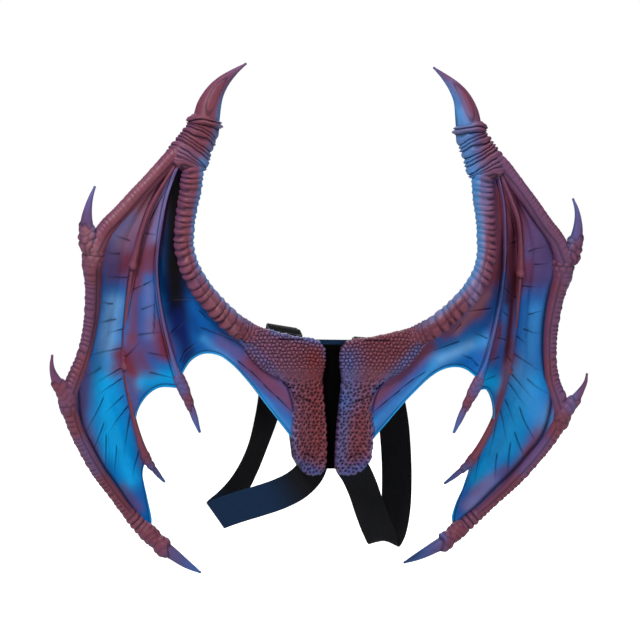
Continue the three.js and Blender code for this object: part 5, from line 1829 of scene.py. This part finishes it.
@dataclass
class Harness:
    """The panel behind the plates, the yoke across its top, and the two loops."""

    panel_width: float = 84 * MM
    panel_height: float = 150 * MM
    panel_thickness: float = 4 * MM
    panel_corner: float = 9 * MM
    panel_middle: float = 4 * MM
    yoke_width: float = 150 * MM
    yoke_rise: float = 6 * MM
    clearance: float = 0.3 * MM

    def panel(self) -> Skin:
        """The panel: rings of a rounded rectangle that shrink to the middle, front and back.

        The half thickness falls off to the rim as a quarter circle, is fuller at the binding of the rim and
        sinks where a stitch line runs round inside it.
        """
        around, steps = 240, 26
        shape = circle(around)
        half = np.array([self.panel_width, self.panel_height]) / 2
        square = shape / np.max(np.abs(shape), axis=1, keepdims=True)
        inner = half - self.panel_corner
        outline = square * half
        over = np.clip(np.abs(outline) - inner, 0, None)
        length = np.linalg.norm(over, axis=1, keepdims=True)
        outline = np.sign(outline) * (
            np.minimum(np.abs(outline), inner)
            + over * np.minimum(1, self.panel_corner / np.maximum(length, 1e-9))
        )
        share = 1 - np.linspace(0, 1, steps) ** 1.6
        away = (1 - share) * half[0]
        round_off = np.sqrt(np.clip(1 - (1 - np.clip(away / (2 * MM), 0, 1)) ** 2, 0, 1))
        stitch = bell(away - 7 * MM, 1.1 * MM)
        binding = bell(away - 3.5 * MM, 2.4 * MM)
        thick = self.panel_thickness / 2 * round_off * (0.80 - 0.20 * stitch + 0.20 * binding)
        keep = share > 0
        layers = []
        for sign, order in ((-1, slice(None, None, -1)), (1, slice(1, None))):
            ring = outline[None] * share[keep][:, None, None]
            depth = np.broadcast_to((sign * thick[keep])[:, None], ring.shape[:2])
            layer = np.stack([ring[..., 0], depth - self.panel_thickness / 2, ring[..., 1]], axis=-1)
            layers.append(layer[order])
        rings = np.vstack(layers) + np.array([0, 0, self.panel_middle])
        middle = np.array([0, -self.panel_thickness / 2, self.panel_middle])
        push = np.array([0, self.panel_thickness * 0.40, 0])
        points = np.vstack([rings.reshape(-1, 3), middle - push, middle + push])
        count = len(points)
        faces = tube_faces(len(rings), around)
        return Skin(points, faces, Paint.COAL.over((count, 3)), np.zeros(count), points[:, [0, 2]])

    def yoke(self) -> Skin:
        """The yoke: the webbing's profile carried straight across the top of the panel."""
        webbing = Webbing()
        run = np.linspace(0, self.yoke_width, 61)
        top = self.panel_middle + self.panel_height / 2 + self.yoke_rise
        centre = np.stack([
            run - self.yoke_width / 2,
            np.full_like(run, self.clearance + webbing.thickness / 2),
            np.full_like(run, top - webbing.width / 2),
        ], axis=1)
        up = np.broadcast_to(np.array([0.0, 0, 1]), centre.shape)
        out = np.broadcast_to(np.array([0.0, 1, 0]), centre.shape)
        spray = bell(run - self.yoke_width / 2, 40 * MM) * 0.8
        return webbing.sweep(centre, up, out, run, spray)

    def build(self, finishes: dict[str, bpy.types.Material]) -> list[bpy.types.Object]:
        """Builds the panel, the yoke and both loops.

        Args:
            finishes: Materials by slot.

        Returns:
            The pieces.
        """
        panel = settle(self.panel(), "back_panel", "panel_fabric", finishes)
        yoke = settle(self.yoke(), "yoke_strap", "elastic_webbing", finishes)
        loops = [
            ShoulderLoop(Side.LEFT, LEFT_LOOP, 0.64, 0.88),
            ShoulderLoop(Side.RIGHT, RIGHT_LOOP, 0.93, 1.10, spray=0.5),
        ]
        return [panel, yoke, *(piece for loop in loops for piece in loop.build(finishes))]


class Nodes:
    """A small builder for a node tree."""

    def __init__(self, tree: bpy.types.NodeTree) -> None:
        """Keeps the tree that nodes go into."""
        self.tree = tree

    def add(self, kind: str, inputs: dict[str, object] | None = None, **settings: object) -> bpy.types.Node:
        """Adds a node, sets its fields and joins or sets its inputs.

        Args:
            kind: The node's type.
            inputs: Values or sockets by input name or number.
            **settings: Fields of the node.

        Returns:
            The node.
        """
        node = self.tree.nodes.new(kind)
        for name, value in settings.items():
            setattr(node, name, value)
        self.fill(node, inputs or {})
        return node

    def fill(self, node: bpy.types.Node, inputs: dict[str, object]) -> None:
        """Joins a node's inputs to sockets, or sets their values, by input name or number."""
        for name, value in inputs.items():
            if isinstance(value, bpy.types.NodeSocket):
                self.tree.links.new(value, node.inputs[name])
            else:
                node.inputs[name].default_value = value

    def effect(self, tree: bpy.types.NodeTree, inputs: dict[str, object]) -> bpy.types.Node:
        """Adds a shared node group with its inputs."""
        return self.add("ShaderNodeGroup", inputs, node_tree=tree)

    def attribute(self, name: str) -> bpy.types.Node:
        """Adds a node that reads an attribute of the piece."""
        return self.add("ShaderNodeAttribute", attribute_name=name)

    def noise(self, place: bpy.types.NodeSocket, scale: object, detail: float, roughness: float = 0.5
              ) -> bpy.types.NodeSocket:
        """A noise over places."""
        return self.add("ShaderNodeTexNoise", {
            "Vector": place, "Scale": scale, "Detail": detail, "Roughness": roughness,
        }).outputs["Fac"]

    def bump(self, height: bpy.types.NodeSocket, strength: float, distance: float) -> bpy.types.NodeSocket:
        """A normal bent by a height."""
        return self.add("ShaderNodeBump", {
            "Height": height, "Strength": strength, "Distance": distance,
        }).outputs["Normal"]

    def maths(self, operation: str, first: object, second: object = 0.0) -> bpy.types.NodeSocket:
        """A maths node's result."""
        return self.add("ShaderNodeMath", {0: first, 1: second}, operation=operation).outputs[0]

    def scaled(self, colour: object, factor: object) -> bpy.types.NodeSocket:
        """A colour times a factor."""
        return self.add("ShaderNodeVectorMath", {0: colour, "Scale": factor}, operation="SCALE").outputs[0]

    def ramp(self, value: object, low: float, high: float, to_low: float = 0.0, to_high: float = 1.0
             ) -> bpy.types.NodeSocket:
        """A value eased from one range to another."""
        return self.add("ShaderNodeMapRange", {
            "Value": value, "From Min": low, "From Max": high, "To Min": to_low, "To Max": to_high,
        }, interpolation_type="SMOOTHSTEP").outputs["Result"]


def group(name: str, inputs: dict[str, tuple[str, object]], outputs: dict[str, str]
          ) -> tuple[bpy.types.NodeTree, bpy.types.Node, bpy.types.Node]:
    """Starts a shader node group with named sockets.

    Args:
        name: The group's name.
        inputs: Type and value of each input by name.
        outputs: Type of each output by name.

    Returns:
        The group, its input node and its output node.
    """
    tree = bpy.data.node_groups.new(name, "ShaderNodeTree")
    for title, (kind, value) in inputs.items():
        socket = tree.interface.new_socket(title, in_out="INPUT", socket_type=kind)
        socket.default_value = value
    for title, kind in outputs.items():
        tree.interface.new_socket(title, in_out="OUTPUT", socket_type=kind)
    return tree, tree.nodes.new("NodeGroupInput"), tree.nodes.new("NodeGroupOutput")


class SharedEffects:
    """The node groups that more than one finish uses, each built once."""

    def __init__(self) -> None:
        """Builds the groups."""
        self.airbrush = self.make_airbrush()
        self.foam_skin = self.make_foam_skin()
        self.weave = self.make_weave()

    def make_airbrush(self) -> bpy.types.NodeTree:
        """Uneven airbrushed paint: clouds and fine speckle lighten and darken it, and creases turn dark with
        painted shade.
        """
        tree, given, result = group(
            "uneven airbrushed paint",
            {
                "Paint": ("NodeSocketColor", (0.5, 0.5, 0.5, 1)),
                "Crease": ("NodeSocketFloat", 0.0),
                "Cloud Size": ("NodeSocketFloat", 40.0),
                "Cloud Amount": ("NodeSocketFloat", 0.25),
                "Speckle Amount": ("NodeSocketFloat", 0.2),
                "Crease Amount": ("NodeSocketFloat", 0.8),
                "Crease Colour": ("NodeSocketColor", (0.0075, 0.0035, 0.018, 1)),
            },
            {"Colour": "NodeSocketColor", "Patch": "NodeSocketFloat"},
        )
        nodes = Nodes(tree)
        place = nodes.add("ShaderNodeTexCoord").outputs["Object"]
        cloud = nodes.noise(place, given.outputs["Cloud Size"], 4.0, 0.6)
        speckle = nodes.noise(place, SPECKLE_SCALE, 2.0)
        clouded = nodes.maths("MULTIPLY", nodes.maths("SUBTRACT", cloud, 0.5), given.outputs["Cloud Amount"])
        speckled = nodes.maths("SUBTRACT", speckle, 0.5)
        speckled = nodes.maths("MULTIPLY", speckled, given.outputs["Speckle Amount"])
        light = nodes.maths("ADD", 1.0, nodes.maths("ADD", clouded, speckled))
        toned = nodes.scaled(given.outputs["Paint"], light)
        # Creases are darkened towards their dark colour, as painted shade.
        cover = nodes.maths("MULTIPLY", given.outputs["Crease"], given.outputs["Crease Amount"])
        mixed_in = nodes.add("ShaderNodeMix", {0: cover, 6: toned, 7: given.outputs["Crease Colour"]},
                             data_type="RGBA")
        tree.links.new(mixed_in.outputs[2], result.inputs["Colour"])
        tree.links.new(cloud, result.inputs["Patch"])
        return tree

    def make_foam_skin(self) -> bpy.types.NodeTree:
        """Fine pores and soft unevenness of a foam skin, as a height and a roughness."""
        tree, given, result = group(
            "foam skin",
            {
                "Pore Size": ("NodeSocketFloat", 700.0),
                "Pore Depth": ("NodeSocketFloat", 0.3),
                "Roughness": ("NodeSocketFloat", 0.5),
                "Roughness Spread": ("NodeSocketFloat", 0.2),
                "Crease": ("NodeSocketFloat", 0.0),
            },
            {"Height": "NodeSocketFloat", "Roughness": "NodeSocketFloat"},
        )
        nodes = Nodes(tree)
        place = nodes.add("ShaderNodeTexCoord").outputs["Object"]
        pores = nodes.noise(place, given.outputs["Pore Size"], 3.0, 0.65)
        swell = nodes.noise(place, SWELL_SCALE, 2.0)
        height = nodes.maths("ADD", nodes.maths("MULTIPLY", pores, given.outputs["Pore Depth"]), swell)
        spread = nodes.maths("SUBTRACT", swell, 0.5)
        spread = nodes.maths("MULTIPLY", spread, given.outputs["Roughness Spread"])
        rough = nodes.maths("ADD", nodes.maths("ADD", given.outputs["Roughness"], spread),
                            nodes.maths("MULTIPLY", given.outputs["Crease"], 0.25))
        tree.links.new(height, result.inputs["Height"])
        tree.links.new(rough, result.inputs["Roughness"])
        return tree

    def make_weave(self) -> bpy.types.NodeTree:
        """Woven thread: ribs along the cloth crossed by finer threads, from the weave attribute, with
        painted shade between them.
        """
        tree, given, result = group(
            "woven thread",
            {
                "Rib Pitch": ("NodeSocketFloat", 1.9 * MM),
                "Thread Pitch": ("NodeSocketFloat", 1.0 * MM),
                "Paint": ("NodeSocketColor", (0.01, 0.01, 0.01, 1)),
                "Contrast": ("NodeSocketFloat", 0.5),
            },
            {"Colour": "NodeSocketColor", "Height": "NodeSocketFloat"},
        )
        nodes = Nodes(tree)
        where = nodes.attribute("weave").outputs["Vector"]
        split = nodes.add("ShaderNodeSeparateXYZ", {0: where})
        across = nodes.maths("DIVIDE", split.outputs[0], given.outputs["Rib Pitch"])
        along = nodes.maths("DIVIDE", split.outputs[1], given.outputs["Thread Pitch"])
        rib = nodes.maths("ABSOLUTE", nodes.maths("SINE", nodes.maths("MULTIPLY", across, math.pi)))
        shifted = nodes.maths("ADD", along, nodes.maths("MULTIPLY", nodes.maths("FLOOR", across), 0.5))
        thread = nodes.maths("ABSOLUTE", nodes.maths("SINE", nodes.maths("MULTIPLY", shifted, math.pi)))
        height = nodes.maths("MULTIPLY", nodes.maths("POWER", rib, 0.5), nodes.maths("ADD", 0.4, thread))
        # Painted shade: the colour is darkened between the ribs and threads by the contrast.
        shade = nodes.maths("ADD", nodes.maths("SUBTRACT", 1.0, given.outputs["Contrast"]),
                            nodes.maths("MULTIPLY", height, given.outputs["Contrast"]))
        tree.links.new(nodes.scaled(given.outputs["Paint"], shade), result.inputs["Colour"])
        tree.links.new(height, result.inputs["Height"])
        return tree


@dataclass(frozen=True)
class FoamFinish:
    """Satin painted foam that takes its colours, and the painted shade of its creases, from the piece's own
    attributes.
    """

    name: str
    roughness: float = 0.42
    spread: float = 0.25
    cloud_size: float = 45.0
    cloud_amount: float = 0.5
    speckle: float = 0.35
    crease: float = 0.95
    pore_size: float = 900.0
    pore_depth: float = 0.35
    bump: float = 0.25
    coat: float = 0.06
    coat_roughness: float = 0.3
    specular: float = 0.35

    def material(self, effects: SharedEffects) -> bpy.types.Material:
        """Builds the material.

        Args:
            effects: The shared node groups.

        Returns:
            The material.
        """
        made, nodes, shader = fresh(self.name)
        crease = nodes.attribute("crease").outputs["Fac"]
        brush = nodes.effect(effects.airbrush, {
            "Paint": nodes.attribute("paint").outputs["Color"], "Crease": crease,
            "Cloud Size": self.cloud_size, "Cloud Amount": self.cloud_amount,
            "Speckle Amount": self.speckle, "Crease Amount": self.crease,
        })
        skin = nodes.effect(effects.foam_skin, {
            "Pore Size": self.pore_size, "Pore Depth": self.pore_depth, "Roughness": self.roughness,
            "Roughness Spread": self.spread, "Crease": crease,
        })
        nodes.fill(shader, {
            "Base Color": brush.outputs["Colour"],
            "Roughness": skin.outputs["Roughness"],
            "Normal": nodes.bump(skin.outputs["Height"], self.bump, 0.4 * MM),
            "Coat Weight": self.coat,
            "Coat Roughness": self.coat_roughness,
            "Specular IOR Level": self.specular,
        })
        return made


@dataclass(frozen=True)
class WovenFinish:
    """Black woven cloth or elastic with its ribs and threads."""

    name: str
    rib_pitch: float
    thread_pitch: float
    contrast: float
    bump: float
    sheen: float = 0.08
    sheen_roughness: float = 0.4
    specular: float = 0.2
    roughness: float = 0.85

    def material(self, effects: SharedEffects) -> bpy.types.Material:
        """Builds the material.

        Args:
            effects: The shared node groups.

        Returns:
            The material.
        """
        made, nodes, shader = fresh(self.name)
        weave = nodes.effect(effects.weave, {
            "Paint": nodes.attribute("paint").outputs["Color"], "Rib Pitch": self.rib_pitch,
            "Thread Pitch": self.thread_pitch, "Contrast": self.contrast,
        })
        nodes.fill(shader, {
            "Base Color": weave.outputs["Colour"],
            "Normal": nodes.bump(weave.outputs["Height"], self.bump, 0.2 * MM),
            "Roughness": self.roughness,
            "Specular IOR Level": self.specular,
            "Sheen Weight": self.sheen,
            "Sheen Roughness": self.sheen_roughness,
        })
        return made


@dataclass(frozen=True)
class MouldedFinish:
    """Black moulded plastic with a fine grain."""

    name: str
    roughness: float = 0.55
    bump: float = 0.12
    pore_size: float = 1400.0
    specular: float = 0.10

    def material(self, effects: SharedEffects) -> bpy.types.Material:
        """Builds the material.

        Args:
            effects: The shared node groups.

        Returns:
            The material.
        """
        made, nodes, shader = fresh(self.name)
        skin = nodes.effect(effects.foam_skin, {"Pore Size": self.pore_size, "Roughness": self.roughness})
        nodes.fill(shader, {
            "Base Color": nodes.attribute("paint").outputs["Color"],
            "Roughness": skin.outputs["Roughness"],
            "Normal": nodes.bump(skin.outputs["Height"], self.bump, 0.1 * MM),
            "Specular IOR Level": self.specular,
        })
        return made


def fresh(name: str) -> tuple[bpy.types.Material, Nodes, bpy.types.Node]:
    """A new material with its node builder and its shader."""
    made = bpy.data.materials.new(name)
    made.use_nodes = True
    return made, Nodes(made.node_tree), made.node_tree.nodes["Principled BSDF"]


@dataclass
class Studio:
    """The pale floor, the soft lights and the camera.

    Haze is the strength of the white surroundings, and glow that of the floor as the camera sees it.
    """

    eye: tuple[float, float, float] = (-0.5806, -2.342, 0.1525)
    way: tuple[float, float, float] = (470.03, 1944.04, -36.62)
    lens: float = 112.5
    sensor: float = 36.0
    far: float = 50.0
    turn: float = math.radians(14)
    roll: float = math.radians(1.1377)
    floor: float = -0.225
    reach: float = 30.0
    haze: float = 0.13
    glow: float = 0.9

    def camera(self) -> None:
        """Puts the camera at the photograph's place, rolled as the photograph is."""
        data = bpy.data.cameras.new("studio_camera")
        data.lens = self.lens
        data.sensor_width = self.sensor
        data.clip_end = self.far
        camera = bpy.data.objects.new("studio_camera", data)
        bpy.context.scene.collection.objects.link(camera)
        ahead = Vector(self.way).normalized()
        level = Vector((math.cos(self.turn), -math.sin(self.turn), 0))
        right = level * math.cos(self.roll) + Vector((0, 0, math.sin(self.roll)))
        right = (right - ahead * right.dot(ahead)).normalized()
        up = right.cross(ahead)
        turned = Matrix((right, up, -ahead)).transposed().to_4x4()
        camera.matrix_world = Matrix.Translation(self.eye) @ turned
        bpy.context.scene.camera = camera

    def ground(self) -> None:
        """A flat pale floor: a square about the middle."""
        half = self.reach
        corners = [(-half, -half, self.floor), (half, -half, self.floor), (half, half, self.floor),
                   (-half, half, self.floor)]
        mesh = bpy.data.meshes.new("studio_floor")
        mesh.from_pydata(corners, [], [(0, 1, 2, 3)])
        floor = bpy.data.objects.new("studio_floor", mesh)
        bpy.context.scene.collection.objects.link(floor)
        made, nodes, shader = fresh("pale floor")
        seen = nodes.add("ShaderNodeLightPath").outputs["Is Camera Ray"]
        nodes.fill(shader, {
            "Base Color": (0.80, 0.80, 0.80, 1),
            "Roughness": 0.9,
            "Emission Color": (1, 1, 1, 1),
            "Emission Strength": nodes.maths("MULTIPLY", seen, self.glow),
        })
        mesh.materials.append(made)

    def light(self, name: str, place: tuple[float, float, float], size: float, power: float) -> None:
        """A square soft light aimed at the wings."""
        data = bpy.data.lights.new(name, "AREA")
        data.size = size
        data.energy = power
        lamp = bpy.data.objects.new(name, data)
        bpy.context.scene.collection.objects.link(lamp)
        lamp.location = place
        lamp.rotation_euler = (Vector((0, 0, 0.1)) - Vector(place)).to_track_quat("-Z", "Y").to_euler()

    def build(self) -> None:
        """Sets the world, the lights, the floor and the camera."""
        scene = bpy.context.scene
        world = bpy.data.worlds.new("studio_world")
        world.use_nodes = True
        sky = world.node_tree.nodes["Background"]
        nodes = Nodes(world.node_tree)
        seen = nodes.add("ShaderNodeLightPath").outputs["Is Camera Ray"]
        nodes.fill(sky, {"Color": (1, 1, 1, 1), "Strength": nodes.ramp(seen, 0, 1, self.haze, 1.0)})
        scene.world = world
        scene.view_settings.view_transform = "Standard"
        self.light("key_light", (-1.4, -1.8, 1.8), 0.6, 56)
        self.light("fill_light", (1.9, -2.0, 0.7), 1.2, 13)
        self.light("top_light", (0.3, -0.2, 2.2), 0.9, 16)
        self.light("rear_light", (0.4, 1.9, 1.2), 1.6, 18)
        self.ground()
        self.camera()


def main() -> None:
    """Builds the studio, the two wings and the harness, and logs how many pieces each has."""
    logging.basicConfig(level=logging.INFO, format="%(name)s: %(message)s")
    Studio().build()
    effects = SharedEffects()
    kinds = {
        "scaled_foam": FoamFinish("scaled foam", coat=0.08, cloud_size=60),
        "ringed_foam": FoamFinish("ringed foam", roughness=0.46, coat=0.03, specular=0.30),
        "rib_foam": FoamFinish("rib foam"),
        "membrane_foam": FoamFinish("membrane foam", roughness=0.48, cloud_size=30, coat=0.0, specular=0.12),
        "claw_foam": FoamFinish("claw foam", roughness=0.50, coat=0.02, specular=0.28),
        "panel_fabric": WovenFinish("panel fabric", 1.4 * MM, 1.4 * MM, 0.4, 0.3, sheen=0.0, specular=0.05),
        "elastic_webbing": WovenFinish("elastic webbing", 1.81 * MM, 0.9 * MM, 0.7, 0.7),
        "slider_plastic": MouldedFinish("slider plastic"),
    }
    finishes = {slot: kind.material(effects) for slot, kind in kinds.items()}
    for side in Side:
        pieces = Wing(side).build(finishes)
        log.info("%s wing: %d pieces", side.prefix, len(pieces))
    log.info("harness: %d pieces", len(Harness().build(finishes)))


if __name__ == "__main__":
    main()
